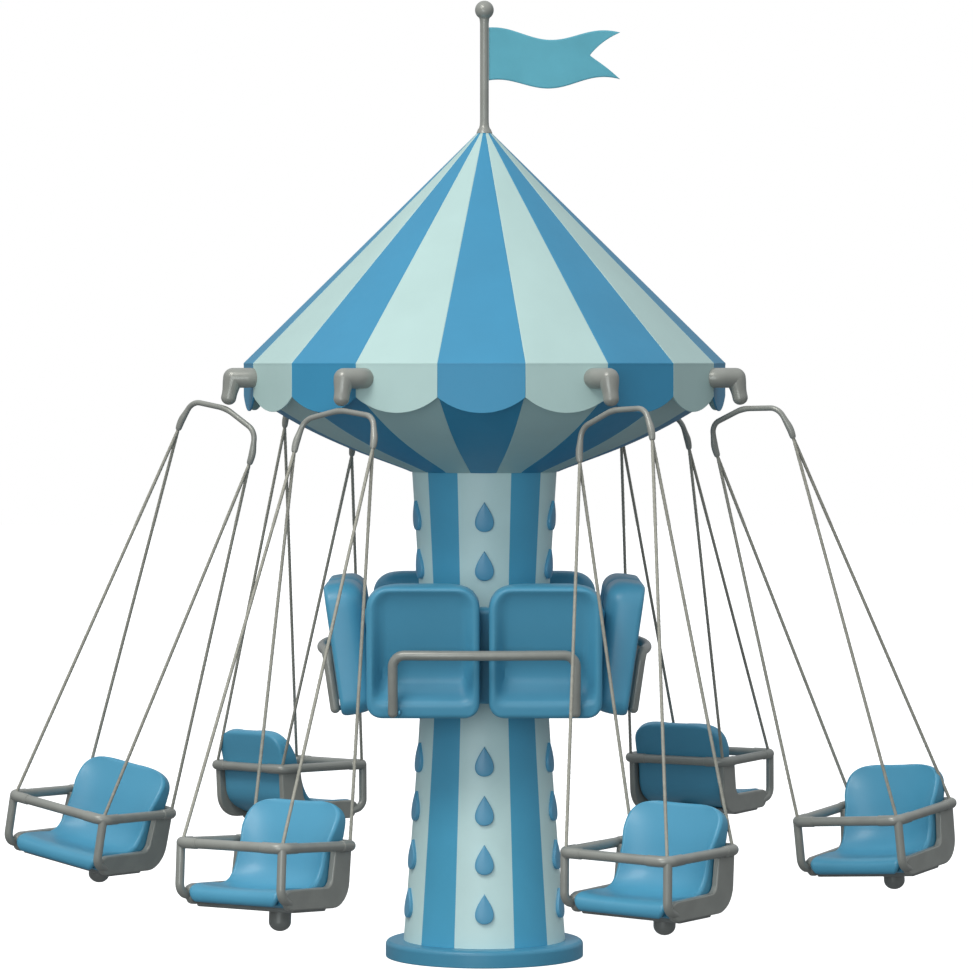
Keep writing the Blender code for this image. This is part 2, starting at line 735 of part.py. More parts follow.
def make_swing(entry, frame_mesh, shell_mesh, spin):
    name, root, arm_end, tilt, bearing, bow_facing, facing, ring_tip = entry
    pivot = pivot_point(arm_end)
    ropes = rope_direction(tilt, bearing)
    axis = empty(f"swing_{name}_axis", Matrix.Translation(pivot) @ turned(bearing))
    hold(axis, spin, axis.matrix_basis.copy())
    frame = chair_matrix(pivot + ropes * ROPE_LENGTH, facing, ring_tip, bearing)
    hold(new_object(f"hanger_{name}", hanger_mesh(pivot, ropes, bow_facing, frame), ROPE_GREY), axis)
    hold(new_object(f"chair_frame_{name}", frame_mesh, GREY_STEEL), axis, frame)
    hold(new_object(f"chair_shell_{name}", shell_mesh, SEAT_BLUE), axis, frame)


def rim_out(height):
    """How far out from the tower's axis the front of the drop seats stands at this height."""
    return SEAT_LIP_OUT + (height - SEAT_BOTTOM_Z) * math.tan(math.radians(SEAT_LEAN))


def rounded_rectangle(half_width, height, radius, steps):
    outline = []
    centres = ((half_width - radius, radius, -90), (half_width - radius, height - radius, 0),
               (radius - half_width, height - radius, 90), (radius - half_width, radius, 180))
    for x, z, start in centres:
        for step in range(steps + 1):
            angle = math.radians(start + 90 * step / steps)
            outline.append((x + radius * math.cos(angle), z + radius * math.sin(angle)))
    return outline


def mitre_mesh(hand):
    """Block beyond the upright diagonal plane where two sides of the carriage meet."""
    size = MITRE_SIZE
    square = ((-size, -size), (size, -size), (size, 2 * size), (-size, 2 * size))
    block = outline_prism("mitre", square, -MITRE_GAP, size)
    block.transform(Matrix.Translation((hand * size, -size, SEAT_BOTTOM_Z)) @ turned(-45 * hand))
    return block


def drop_seat_mesh(hand):
    """One moulded seat of a pair, in its place at the front of the tower."""
    half = SEAT_WIDTH / 2
    outline = rounded_rectangle(half, SEAT_HEIGHT, SEAT_CORNER, 3)
    body = outline_prism("drop_seat", outline, 0.0, SEAT_THICKNESS, SEAT_EDGE)
    recess = side_prism("recess", SEAT_RECESS, half - SEAT_RIM, SEAT_HOLLOW_EDGE)
    seat = cut("drop_seat", body, [recess])
    lean = Matrix.Rotation(math.radians(SEAT_LEAN), 4, "X")
    seat.transform(Matrix.Translation((hand * SEAT_OFFSET, -SEAT_LIP_OUT, SEAT_BOTTOM_Z)) @ lean)
    seat = cut("drop_seat", seat, [mitre_mesh(hand)])
    outline = [(LAP_LUG_LENGTH, LAP_LUG_RADIUS)]
    for step in range(7):
        angle = math.radians(90 + 30 * step)
        outline.append((LAP_LUG_RADIUS * math.cos(angle), LAP_LUG_RADIUS * math.sin(angle)))
    outline.append((LAP_LUG_LENGTH, -LAP_LUG_RADIUS))
    lug = side_prism("lug", outline, LAP_LUG_WIDTH / 2)
    beside = hand * (LAP_HALF_WIDTH - LAP_RADIUS - LAP_LUG_GAP - LAP_LUG_WIDTH / 2)
    lug.transform(Matrix.Translation((beside, -rim_out(LAP_PIVOT_Z) - LAP_STANDOFF, LAP_PIVOT_Z)))
    return joined("drop_seat", [seat, lug])


def lap_bar_mesh():
    """Bowed rail across both seats with a leg down each side to its pivot."""
    foot = rim_out(LAP_PIVOT_Z) + LAP_STANDOFF
    top = rim_out(LAP_TOP_Z) + LAP_STANDOFF
    rail = []
    for step in range(LAP_STEPS + 1):
        across = 2 * step / LAP_STEPS - 1
        rail.append((LAP_HALF_WIDTH * across, -top - LAP_BULGE * (1 - across * across), LAP_TOP_Z))
    feet = [(-LAP_HALF_WIDTH, -foot, LAP_PIVOT_Z), (LAP_HALF_WIDTH, -foot, LAP_PIVOT_Z)]
    left = rounded_path([feet[0], rail[0], rail[1]], LAP_CORNER, 3)
    right = rounded_path([rail[-2], rail[-1], feet[1]], LAP_CORNER, 3)
    path = left[:-1] + [Vector(point) for point in rail[1:-1]] + right[1:]
    start, shares = dome(path[0], path[1], LAP_RADIUS)
    end = dome(path[-1], path[-2], LAP_RADIUS)[0]
    radii = shares[::-1] + [1.0] * len(path) + shares
    return tube("lap_bar", start[::-1] + path + end, LAP_RADIUS, radii=radii)


def collar_mesh():
    """Square carriage that slides on the tower; its sides lean with the seats' backs."""
    slab = SEAT_THICKNESS / math.cos(math.radians(SEAT_LEAN)) + 2 * GAP
    low = rim_out(COLLAR_BOTTOM_Z) - slab
    high = rim_out(COLLAR_TOP_Z) - slab
    bm = bmesh.new()
    middle = Vector((0.0, 0.0, (COLLAR_TOP_Z + COLLAR_BOTTOM_Z) / 2))
    bmesh.ops.create_cone(bm, cap_ends=True, segments=4, radius1=low * math.sqrt(2),
                          radius2=high * math.sqrt(2), depth=COLLAR_TOP_Z - COLLAR_BOTTOM_Z,
                          matrix=Matrix.Translation(middle) @ turned(45))
    upright = [edge for edge in bm.edges if abs(edge.verts[0].co.z - edge.verts[1].co.z) > 0.1]
    bmesh.ops.bevel(bm, geom=upright, offset=COLLAR_CORNER, segments=3, profile=0.5, affect="EDGES")
    block = mesh_from(bm, "collar")
    bottom = (0.0, 0.0, COLLAR_BOTTOM_Z - COLLAR_HOLE_OVERRUN)
    top = (0.0, 0.0, COLLAR_TOP_Z + COLLAR_HOLE_OVERRUN)
    bore = cylinder("bore", COLLAR_HOLE, bottom, top, 48)
    return cut("collar", block, [bore])


def make_carriage():
    drop = empty("carriage_drop_axis", Matrix.Identity(4))
    hold(new_object("carriage_collar", collar_mesh(), BASE_BLUE), drop)
    seats = {"left": drop_seat_mesh(-1), "right": drop_seat_mesh(1)}
    bar = lap_bar_mesh()
    foot = rim_out(LAP_PIVOT_Z) + LAP_STANDOFF
    for side, bearing in SIDES:
        for hand, mesh in seats.items():
            hold(new_object(f"drop_seat_{side}_{hand}", mesh, SEAT_BLUE), drop, turned(bearing))
        place = direction(bearing) * foot + Vector((0.0, 0.0, LAP_PIVOT_Z))
        axis = empty(f"lap_bar_{side}_axis", Matrix.Translation(place) @ turned(bearing))
        hold(axis, drop, axis.matrix_basis.copy())
        hold(new_object(f"lap_bar_{side}", bar, GREY_STEEL), axis, turned(bearing))


def make_canopy():
    spin = empty("canopy_spin_axis", Matrix.Identity(4))
    cutters = []
    for name, root, *others in SWINGS:
        outward = direction(root - CANOPY_TURN)
        ends = [outward * reach + Vector((0.0, 0.0, ARM_Z)) for reach in ARM_HOLE_REACH]
        cutters.append(cylinder("arm_hole", ARM_HOLE, *ends, 16))
    make_roof(spin)
    make_valance(spin, cutters)
    make_funnel(spin)
    make_hub(spin)
    make_flag(spin)
    for name, root, arm_end, *others in SWINGS:
        make_arm(name, root, arm_end, spin)
    return spin


def make_ride():
    make_base()
    make_tower()
    spin = make_canopy()
    make_carriage()
    frame_mesh = chair_frame_mesh()
    shell_mesh = chair_shell_mesh()
    for entry in SWINGS:
        make_swing(entry, frame_mesh, shell_mesh, spin)


make_ride()
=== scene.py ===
"""Looks of a small fairground ride: six swing chairs hang from a striped canopy, and a
drop carriage of eight moulded seats slides on the waisted tower.

Metres, +Z up, the front is -Y. A bearing is an angle round the tower, 0 at the front
and 90 on the right.
"""

import json
import math

import bmesh
import bpy
from mathutils import Matrix, Vector


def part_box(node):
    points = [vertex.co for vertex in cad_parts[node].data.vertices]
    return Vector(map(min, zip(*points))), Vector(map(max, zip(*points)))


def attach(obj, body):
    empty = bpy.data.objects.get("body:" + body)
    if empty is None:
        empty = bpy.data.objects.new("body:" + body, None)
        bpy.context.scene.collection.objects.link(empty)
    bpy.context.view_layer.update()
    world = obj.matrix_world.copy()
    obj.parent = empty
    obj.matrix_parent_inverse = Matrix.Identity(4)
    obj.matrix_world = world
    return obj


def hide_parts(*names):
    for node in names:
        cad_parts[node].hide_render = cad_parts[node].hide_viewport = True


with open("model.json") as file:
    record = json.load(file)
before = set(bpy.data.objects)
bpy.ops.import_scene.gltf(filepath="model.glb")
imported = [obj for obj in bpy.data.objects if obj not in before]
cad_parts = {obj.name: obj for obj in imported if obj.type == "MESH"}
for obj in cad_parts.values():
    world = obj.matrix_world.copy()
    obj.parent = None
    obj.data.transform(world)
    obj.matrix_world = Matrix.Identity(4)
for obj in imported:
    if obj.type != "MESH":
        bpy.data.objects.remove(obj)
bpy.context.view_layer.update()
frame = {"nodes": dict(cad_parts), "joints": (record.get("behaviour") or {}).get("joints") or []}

# Camera: metres a pixel at the tower's axis, and where the axis and the horizon lie
PICTURE = 973
PIXEL = 0.005
CAMERA_DISTANCE = 22.5
AXIS_COLUMN = 484.4
HORIZON_ROW = 364.0
SENSOR = 36.0

# Base and tower
RIM_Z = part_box("roof_cone")[0].z
APEX_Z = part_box("roof_cone")[1].z
BASE_RADIUS = 0.495
BASE_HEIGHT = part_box("base_plinth")[1].z
BASE_EDGE = 0.024
BASE_FOOT_EDGE = 0.006
BASE_LAP = 0.02
BASE_STEPS = 144
TOWER_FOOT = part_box("tower_column")[0].z
TOWER_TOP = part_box("tower_column")[1].z
TOWER_LEVELS = 72
WAIST_RADIUS = 0.315
WAIST_Z = 1.4665
WAIST_SOFTNESS = 0.30
FLARE_MEAN = -0.00589
FLARE_HALF = 0.0736
STRIPES = 5
PALE_ANGLE = 43.0
PALE_STEPS = 22
BLUE_STEPS = 14

# Drops on the tower's pale stripes
DROP_ROWS = (0, 1, 5, 6, 7, 8)
DROP_TIP_Z = 2.287
DROP_PITCH = 0.2415
DROP_HEIGHT = 0.148
DROP_POINTS = 48
DROP_FULLNESS = 1.25
DROP_SLIMNESS = 0.84
DROP_PROUD = 0.017
DROP_EDGE = 0.007
DROP_CROWN = 0.002
DROP_CROWN_ROWS = (0.6, 0.3)
DROP_HEART = -0.3
DROP_SUNK = 0.004

# Canopy
CANOPY_TURN = -0.65
PANELS = 18
PANEL_ANGLE = 360 / PANELS
ROOF_RADIUS = 1.2050
ROOF_RIM_EDGE = 0.005
ROOF_SHOULDER = 0.007
ROOF_LAP = 0.0035
ROOF_SKIN = 0.012
ROOF_TOP_RADIUS = 0.026
ROOF_RIM_STEPS = 5
ROOF_ROWS = (0.01, 0.1, 0.25, 0.42, 0.6, 0.78, 0.9, 1.0)
PANEL_STEPS = 8
SEAM_WIDTH = 0.0035
SEAM_DEPTH = 0.0022
SEAM_FULL_WIDTH = 0.08
PANEL_CROWN = 0.004
CROWN_FULL_WIDTH = 0.4
CROWN_FULL_RISE = 0.1
VALANCE_RADIUS = 1.2042
VALANCE_THICKNESS = 0.010
VALANCE_NOTCH = 0.158
VALANCE_DEPTH = 0.233
VALANCE_EDGE = 0.0025
VALANCE_GAP = 0.0003
SCALLOP_STEPS = 26
SCALLOP_GAP = 0.0006
FUNNEL_PROFILE = ((1.1865, 0.150), (0.920, 0.308), (0.680, 0.420), (0.420, 0.518), (0.376, 0.536))
FUNNEL_STEPS = 5
FUNNEL_SKIN = 0.010
POLE_RADIUS = 0.0218
POLE_SIDES = 32
POLE_FOOT_Z = 4.118
POLE_FOOT_RADIUS = 0.040
FINIAL_RADIUS = 0.047
FINIAL_Z = 4.731
FINIAL_NECK = math.asin(0.56)
FINIAL_STEPS = 14
# Collars above the roof's tip and under the ball, as (height from there, radius)
POLE_COLLAR = ((0.004, 0.033), (0.012, 0.027), (0.024, 0.0235), (0.045, POLE_RADIUS))
FINIAL_COLLAR = ((-0.030, POLE_RADIUS), (-0.008, 0.0238))

# Flag
FLAG_START_X = 0.0225
FLAG_LENGTH = 0.6555
FLAG_NOTCH_X = 0.527
FLAG_Z = 4.488
FLAG_HALF_WIDTH = 0.132
FLAG_TAPER = 0.0155
FLAG_WAVE = 0.027
FLAG_WAVE_TURN = 7.627
FLAG_WAVE_START = -1.984
FLAG_BILLOW = 0.016
FLAG_BILLOW_START = 0.25
FLAG_FOLD_TURN = 7.6
FLAG_FOLD_SLANT = 0.9
FLAG_TAIL_CURVE = 1.15
FLAG_COLUMNS = 96
FLAG_ROWS = 28
FLAG_CLOTH = 0.0016

# Swing arms and hangers
ARM_RADIUS = 0.049
ARM_SIDES = 32
LEG_RADIUS = 0.038
ARM_Z = RIM_Z - 0.068
ARM_INNER_END = 0.206
ARM_BEND_REACH = 1.222
ARM_BEND_RADIUS = 0.080
ELBOW_STEPS = 12
ELBOW_TAPER = 0.085
LEG_LEAN = 13.0
LEG_END_GAP = 0.0235
LEG_END_EDGE = 0.036
LEG_SHY = 0.0004
PATH_STEP = 0.008
YOKE_RADIUS = 0.0135
YOKE_SIDES = 18
YOKE_SWELL = 0.0148
YOKE_SWELL_REACH = 0.050
YOKE_HALF_WIDTH = 0.235
YOKE_DROP = 0.150
YOKE_SHOULDER = 0.205
YOKE_ARCH = 0.036
YOKE_CORNER = 0.074
YOKE_CREST = 0.220
YOKE_LIFT = 0.0034
# The bow's drawn-out ends, as (distance from the tail, radius)
FERRULE = ((0.0, 0.0120), (0.003, 0.0142), (0.024, 0.0166), (0.062, 0.0174), (0.090, 0.0152),
           (0.115, 0.0136), (0.130, YOKE_RADIUS))
FERRULE_TAIL = 0.048
FERRULE_BEND = 0.20
ROPE_LENGTH = 2.11
ROPE_RADIUS = 0.0088
ROPE_LAY = 0.075
ROPE_TURN_STEPS = 9
ROPE_SIDES = 9
ROPE_STRANDS = 3
ROPE_GROOVE = 0.12
ROPE_SUNK = 0.004
ROPE_START = 0.030

# Swing chair
RING_HALF = 0.293
RING_RADIUS = 0.0235
RING_CORNER = 0.050
SLEEVE_RADIUS = 0.0262
SLEEVE_REACH = 0.062
SLEEVE_LIP = 0.0025
FRONT_BAR_RADIUS = 0.021
FRONT_BAR_SIDES = 18
FRONT_BAR_END = 0.0150
FRONT_BAR_TAPER = 0.09
FRONT_BAR_STEP = 0.012
FRONT_BAR_INSET = 0.010
FRONT_BAR_CORNER = 0.055
FRONT_BAR_SIDE = ((-0.281, -0.004), (-0.281, -0.225), (-0.170, -0.262))
CHEEK_INNER = 0.2535
CHEEK_OUTER = 0.2880
CHEEK_EDGE = 0.009
PLATE_EDGE = 0.006
KNOB_RADIUS = 0.052
KNOB_SIDES = 28
KNOB_PLACE = 0.130
KNOB_TOP = -0.270
KNOB_BOTTOM = -0.408
KNOB_TIP = 0.044
KNOB_FLANGE = ((0.0, 0.0), (0.0, 0.056), (0.020, 0.056), (0.024, KNOB_RADIUS))

# The moulded chair from its front lip to its top: (back, up) of its middle from the
# middle of the guard ring, how far its sides stand up from there, and its thickness
SHELL_STATIONS = (
    (-0.238, -0.278, 0.000, 0.026),
    (-0.257, -0.262, 0.000, 0.040),
    (-0.263, -0.236, 0.002, 0.052),
    (-0.252, -0.210, 0.006, 0.060),
    (-0.215, -0.198, 0.010, 0.070),
    (-0.160, -0.199, 0.014, 0.079),
    (-0.090, -0.204, 0.018, 0.076),
    (0.005, -0.211, 0.024, 0.068),
    (0.085, -0.192, 0.040, 0.074),
    (0.145, -0.133, 0.056, 0.100),
    (0.180, -0.045, 0.060, 0.078),
    (0.208, 0.055, 0.048, 0.057),
    (0.238, 0.150, 0.022, 0.050),
    (0.255, 0.202, 0.008, 0.046),
)
SHELL_FINE_STEPS = 30
SHELL_ROW = 0.010
SHELL_END_ROWS = 14
SHELL_HALF_WIDTH = 0.2515
SHELL_REAR_SHARE = 0.985
SHELL_EDGE = 0.018
SHELL_EDGE_SHARE = 0.42
SHELL_EDGE_FADE = 0.4
SHELL_SHOULDER = 0.013
SHELL_SHOULDER_START = -0.02
SHELL_SHOULDER_RISE = 0.09
SHELL_ACROSS = 16
# Rounding of its top and its lip, as (how much narrower, along how far, power)
SHELL_TOP_CORNER = (0.185, 0.120, 2.8)
SHELL_LIP_CORNER = (0.055, 0.110, 2.2)

# Cross-sections of the moulded seats
EDGE_STEPS = 5
EDGE_ROOM = 0.98
FACE_SPREAD = 0.85

# Side views of the chair's cheeks and bottom plate, as (back, up, corner radius)
CHEEK_SIDE = (
    (-0.244, -0.205, 0.020), (-0.222, -0.286, 0.045), (0.270, -0.286, 0.125),
    (0.284, -0.006, 0.004), (0.152, -0.006, 0.004), (0.128, -0.186, 0.045),
    (-0.200, -0.190, 0.060),
)
PLATE_SIDE = (
    (-0.160, -0.298, 0.010), (0.110, -0.298, 0.010), (0.110, -0.270, 0.008),
    (-0.160, -0.270, 0.008),
)

# Name, bearings of the arm at the valance and of its end, tilt and bearing of the ropes,
# bearings that the bow and the chair face, and how far the guard ring tips up on its
# outer side
SWINGS = (
    ("left_outer", -70.8, -71.8, 20.8, -114.3, -33.0, -33.0, 9.6),
    ("left_front", -28.6, -30.9, 18.9, -28.1, -36.7, -32.1, 3.7),
    ("right_front", 25.8, 27.05, 16.1, 15.7, -45.0, -35.4, -1.3),
    ("right_outer", 69.0, 71.9, 18.9, 102.8, -36.5, -34.1, 5.8),
    ("back_right", 143.0, 139.6, 25.7, 160.5, 134.0, 150.2, 0.6),
    ("back_left", -143.0, -140.2, 22.8, -165.6, 139.4, 131.6, -1.4),
)

# Drop carriage
SEAT_LEAN = 8.3
SEAT_WIDTH = 0.550
SEAT_HEIGHT = 0.652
SEAT_THICKNESS = 0.180
SEAT_CORNERS = (0.075, 0.116)
SEAT_FRONT_EDGE = 0.024
SEAT_REAR_EDGE = 0.080
SEAT_CREST = 0.024
SEAT_SLOPE = 0.060
SEAT_ACROSS = 22
SEAT_ROWS = 44
SEAT_ROW_SPREAD = 0.13
SEAT_OFFSET = 0.2975
SEAT_LIP_OUT = 0.696
SEAT_BOTTOM_Z = RIM_Z - 1.725
SEAT_MITRE = 0.0015
COLLAR_HOLE = 0.430
COLLAR_CORNER = 0.050
COLLAR_EDGE = 0.030
COLLAR_GAP = 0.0006
COLLAR_POINTS = 128
COLLAR_BOTTOM_Z = RIM_Z - 1.665
COLLAR_TOP_Z = RIM_Z - 1.190
LAP_RADIUS = 0.0243
LAP_HALF_WIDTH = 0.443
LAP_TOP_Z = RIM_Z - 1.408
LAP_PIVOT_Z = RIM_Z - 1.690
LAP_STANDOFF = 0.031
LAP_BULGE = 0.038
LAP_CORNER = 0.060
LAP_STEPS = 12
LAP_LUG_RADIUS = 0.012
LAP_LUG_WIDTH = 0.010
LAP_LUG_LENGTH = 0.055
LAP_LUG_GAP = 0.0015
LAP_LUG_EDGE = 0.004
LAP_LUG_STEPS = 12
SIDES = (("front", 0), ("right", 90), ("back", 180), ("left", -90))

# How deep the hollow of a drop seat is at each height above the seat's bottom
SEAT_HOLLOW = (
    (0.000, 0.000), (0.072, 0.000), (0.088, 0.012), (0.115, 0.046), (0.145, 0.074), (0.180, 0.086),
    (0.225, 0.085), (0.300, 0.072), (0.450, 0.046), (0.560, 0.028), (0.605, 0.016), (0.628, 0.004),
    (0.636, 0.000), (0.652, 0.000),
)

# Studio
FLOOR_SIZE = 120.0
FLOOR_DROP = 0.0005
WHITE = (1.0, 1.0, 1.0, 1.0)
DOME = ((0.40, (0.18, 0.19, 0.20)), (0.95, (0.82, 0.85, 0.88)))
# Place, what it aims at, power and colour of each lamp
LAMP_SIZE = 7.0
LAMPS = {
    "key": ((-5.5, -9.0, 13.0), (0.0, 0.0, 1.8), 1100.0, (1.0, 0.97, 0.92)),
    "fill": ((-3.0, -13.0, 2.6), (0.0, 0.0, 1.9), 430.0, (0.93, 0.98, 1.0)),
}


def direction(bearing):
    """Level unit vector that points outward at this bearing."""
    angle = math.radians(bearing)
    return Vector((math.sin(angle), -math.cos(angle), 0.0))


def hanging(tilt, bearing):
    """Unit vector that points down and leans out by the tilt at this bearing."""
    angle = math.radians(tilt)
    return direction(bearing) * math.sin(angle) - Vector((0.0, 0.0, math.cos(angle)))


def polar(bearing, radius, height):
    """Point at a bearing, this far from the tower's axis."""
    return direction(bearing) * radius + Vector((0.0, 0.0, height))


def circle(count):
    """Cosine and sine of even steps round a full turn."""
    angles = [2 * math.pi * index / count for index in range(count)]
    return [(math.cos(angle), math.sin(angle)) for angle in angles]


def quarter_turn(steps):
    """Cosine and sine of even steps from 0 to 90 degrees, with both ends."""
    angles = [math.radians(90 * step / steps) for step in range(steps + 1)]
    return [(math.cos(angle), math.sin(angle)) for angle in angles]


def turned(bearing):
    """Rotation that takes the front (-Y) to this bearing."""
    return Matrix.Rotation(math.radians(bearing), 4, "Z")


def ease(share):
    """Smooth step from 0 to 1."""
    share = min(max(share, 0.0), 1.0)
    return share * share * (3 - 2 * share)


def quarter(radius, inside):
    """How far a rounded edge has fallen back at a place this far inside its end."""
    if inside >= radius:
        return 0.0
    return radius - math.sqrt(max(radius * radius - (radius - inside) ** 2, 0.0))


def neighbours(items, cyclic=False):
    """Each item between the one before it and the one after it; an end stands in for what
    lies past it."""
    first, last = (items[-1], items[0]) if cyclic else (items[0], items[-1])
    return list(zip([first, *items[:-1]], items, [*items[1:], last]))


def spans(items):
    """Each item and the next, between the one before them and the one after."""
    padded = [items[0], *items, items[-1]]
    return list(zip(padded, padded[1:], padded[2:], padded[3:]))


def between(table, place):
    """Value at a place in a table of (place, value), eased by a cubic through its points."""
    for before, start, end, after in spans(table):
        if place <= end[0]:
            break
    span = end[0] - start[0]
    share = (place - start[0]) / span
    slope_in = (end[1] - before[1]) / (end[0] - before[0])
    slope_out = (after[1] - start[1]) / (after[0] - start[0])
    square = share * share
    cube = square * share
    return ((2 * cube - 3 * square + 1) * start[1] + (cube - 2 * square + share) * span * slope_in
            + (3 * square - 2 * cube) * end[1] + (cube - square) * span * slope_out)


def flowing(points, steps):
    """Smooth curve through the points, with this many steps from each to the next."""
    rows = [Vector(point) for point in points]
    result = []
    for before, start, end, after in spans(rows):
        for step in range(steps):
            share = step / steps
            result.append(0.5 * (2 * start + (end - before) * share
                                 + (2 * before - 5 * start + 4 * end - after) * share ** 2
                                 + (3 * start - before - 3 * end + after) * share ** 3))
    result.append(rows[-1])
    return result


def rounded_path(corners, radii, steps, cyclic=False):
    """Straight runs between the corners, with an arc at each bend."""
    if not hasattr(radii, "__len__"):
        radii = [radii] * len(corners)
    corners = [Vector(corner) for corner in corners]
    points = []
    for radius, (before, here, after) in zip(radii, neighbours(corners, cyclic)):
        if here in (before, after):
            points.append(here)
            continue
        before = (before - here).normalized()
        after = (after - here).normalized()
        half = before.angle(after) / 2
        middle = here + (before + after).normalized() * (radius / math.sin(half))
        reach = radius / math.tan(half)
        start = here + before * reach - middle
        end = here + after * reach - middle
        turn = start.angle(end)
        for step in range(steps + 1):
            share = step / steps
            spoke = start * math.sin((1 - share) * turn) + end * math.sin(share * turn)
            points.append(middle + spoke / math.sin(turn))
    return points


def skin(bm, rings, material=0, closed=False):
    """Quads between rings of points, capped at both ends unless closed; a ring of one point
    is a pole. material may be a function of the column."""
    paint = material if callable(material) else lambda column: material
    loops = [[bm.verts.new(point) for point in ring] for ring in rings]
    pairs = list(zip(loops, loops[1:]))
    if closed:
        pairs.append((loops[-1], loops[0]))
    for low, high in pairs:
        columns = max(len(low), len(high))
        for index in range(columns):
            after = (index + 1) % columns
            if len(low) == 1:
                corners = (low[0], high[after], high[index])
            elif len(high) == 1:
                corners = (low[index], low[after], high[0])
            else:
                corners = (low[index], low[after], high[after], high[index])
            face = bm.faces.new(corners)
            face.material_index = paint(index)
    if not closed:
        for loop in (loops[0], loops[-1]):
            if len(loop) > 2:
                face = bm.faces.new(loop)
                face.material_index = paint(0)


def transported(points, cyclic):
    """Two cross directions at each point of a path, turned as little as can be from one
    point to the next."""
    tangents = [(after - before).normalized()
                for before, point, after in neighbours(points, cyclic)]
    side = tangents[0].orthogonal().normalized()
    frames = []
    for before, tangent, after in neighbours(tangents):
        side = before.rotation_difference(tangent) @ side
        side = (side - tangent * side.dot(tangent)).normalized()
        frames.append((side, tangent.cross(side)))
    return frames


def add_tube(bm, points, radii, sides=20, cyclic=False):
    """Round tube along the points, with one radius or one for each point."""
    points = [Vector(point) for point in points]
    if not hasattr(radii, "__len__"):
        radii = [radii] * len(points)
    rings = [[point + side * (radius * c) + other * (radius * s) for c, s in circle(sides)]
             for point, radius, (side, other) in zip(points, radii, transported(points, cyclic))]
    skin(bm, rings, closed=cyclic)


def add_turned(bm, profile, start, sides, material=0):
    """Profile of (height, radius) turned about an upright line; radius 0 is a pole."""
    up = Vector((0.0, 0.0, 1.0))
    side = up.orthogonal().normalized()
    other = up.cross(side)
    rings = []
    for height, radius in profile:
        spokes = circle(sides) if radius > 0 else [(0.0, 0.0)]
        rings.append([Vector(start) + up * height + side * (radius * c) + other * (radius * s)
                      for c, s in spokes])
    skin(bm, rings, material)


def rounded_end(radius, depth, steps):
    """Profile (distance, radius) of a round end that closes to a pole."""
    return [(depth * s, radius * c) for c, s in quarter_turn(steps)[1:-1]] + [(depth, 0.0)]


def add_slab(bm, outline, place, depth, edge, material=0):
    """Plate with rounded edges: an outline of (a, b) pairs, put in space by place(a, b, c),
    where c runs from 0 to the depth."""
    before = set(bm.faces)
    bottom = bm.faces.new([bm.verts.new(place(a, b, 0.0)) for a, b in outline])
    extruded = bmesh.ops.extrude_face_region(bm, geom=[bottom])
    moved = [item for item in extruded["geom"] if isinstance(item, bmesh.types.BMVert)]
    shift = place(0.0, 0.0, depth) - place(0.0, 0.0, 0.0)
    bmesh.ops.translate(bm, verts=moved, vec=shift)
    faces = [face for face in bm.faces if face not in before]
    caps = sorted(faces, key=lambda face: -len(face.verts))[:2]
    rims = {item for face in caps for item in face.edges}
    bmesh.ops.recalc_face_normals(bm, faces=faces)
    bmesh.ops.bevel(bm, geom=list(rims), offset=edge, segments=3, profile=0.5, affect="EDGES")
    for face in bm.faces:
        if face not in before:
            face.material_index = material


def mesh_of(bm, name, materials, sharp):
    """Smooth mesh with the edges kept sharp that bend more than this many degrees."""
    bmesh.ops.recalc_face_normals(bm, faces=bm.faces)
    mesh = bpy.data.meshes.new(name)
    bm.to_mesh(mesh)
    bm.free()
    for material in materials:
        mesh.materials.append(material)
    mesh.shade_smooth()
    mesh.set_sharp_from_angle(angle=math.radians(sharp))
    return mesh


def placed(name, data):
    """New object in the scene."""
    obj = bpy.data.objects.new(name, data)
    bpy.context.scene.collection.objects.link(obj)
    return obj


def piece(name, mesh, body, slot, *nodes, matrix=None, flats=False):
    """A visible piece that rides on a body and stands for its CAD nodes. flats keeps its flat
    faces evenly shaded."""
    obj = placed(name, mesh)
    if matrix is not None:
        obj.matrix_world = matrix
    if flats:
        weighted = obj.modifiers.new("flat_faces", "WEIGHTED_NORMAL")
        weighted.keep_sharp = True
    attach(obj, body)
    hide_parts(*nodes)
    return obj


def shape(bm, name, materials, sharp, body, slot, *nodes, flats=False):
    """A piece with a mesh of its own."""
    return piece(name, mesh_of(bm, name, materials, sharp), body, slot, *nodes, flats=flats)


def set_inputs(node, **inputs):
    """Inputs of a shader node by name, with _ for a space: sockets are linked, values set."""
    for name, value in inputs.items():
        socket = node.inputs[name.replace("_", " ")]
        if isinstance(value, bpy.types.NodeSocket):
            node.id_data.links.new(value, socket)
        else:
            socket.default_value = value
    return node


def add_node(tree, kind, **inputs):
    return set_inputs(tree.nodes.new(f"ShaderNode{kind}"), **inputs)


def add_ramp(tree, share, stops):
    """Colour that runs with a socket, from (position, colour) to (position, colour)."""
    ramp = add_node(tree, "ValToRGB", Fac=share)
    for element, (position, colour) in zip(ramp.color_ramp.elements, stops):
        element.position = position
        element.color = (*colour, 1.0)
    return ramp.outputs["Color"]


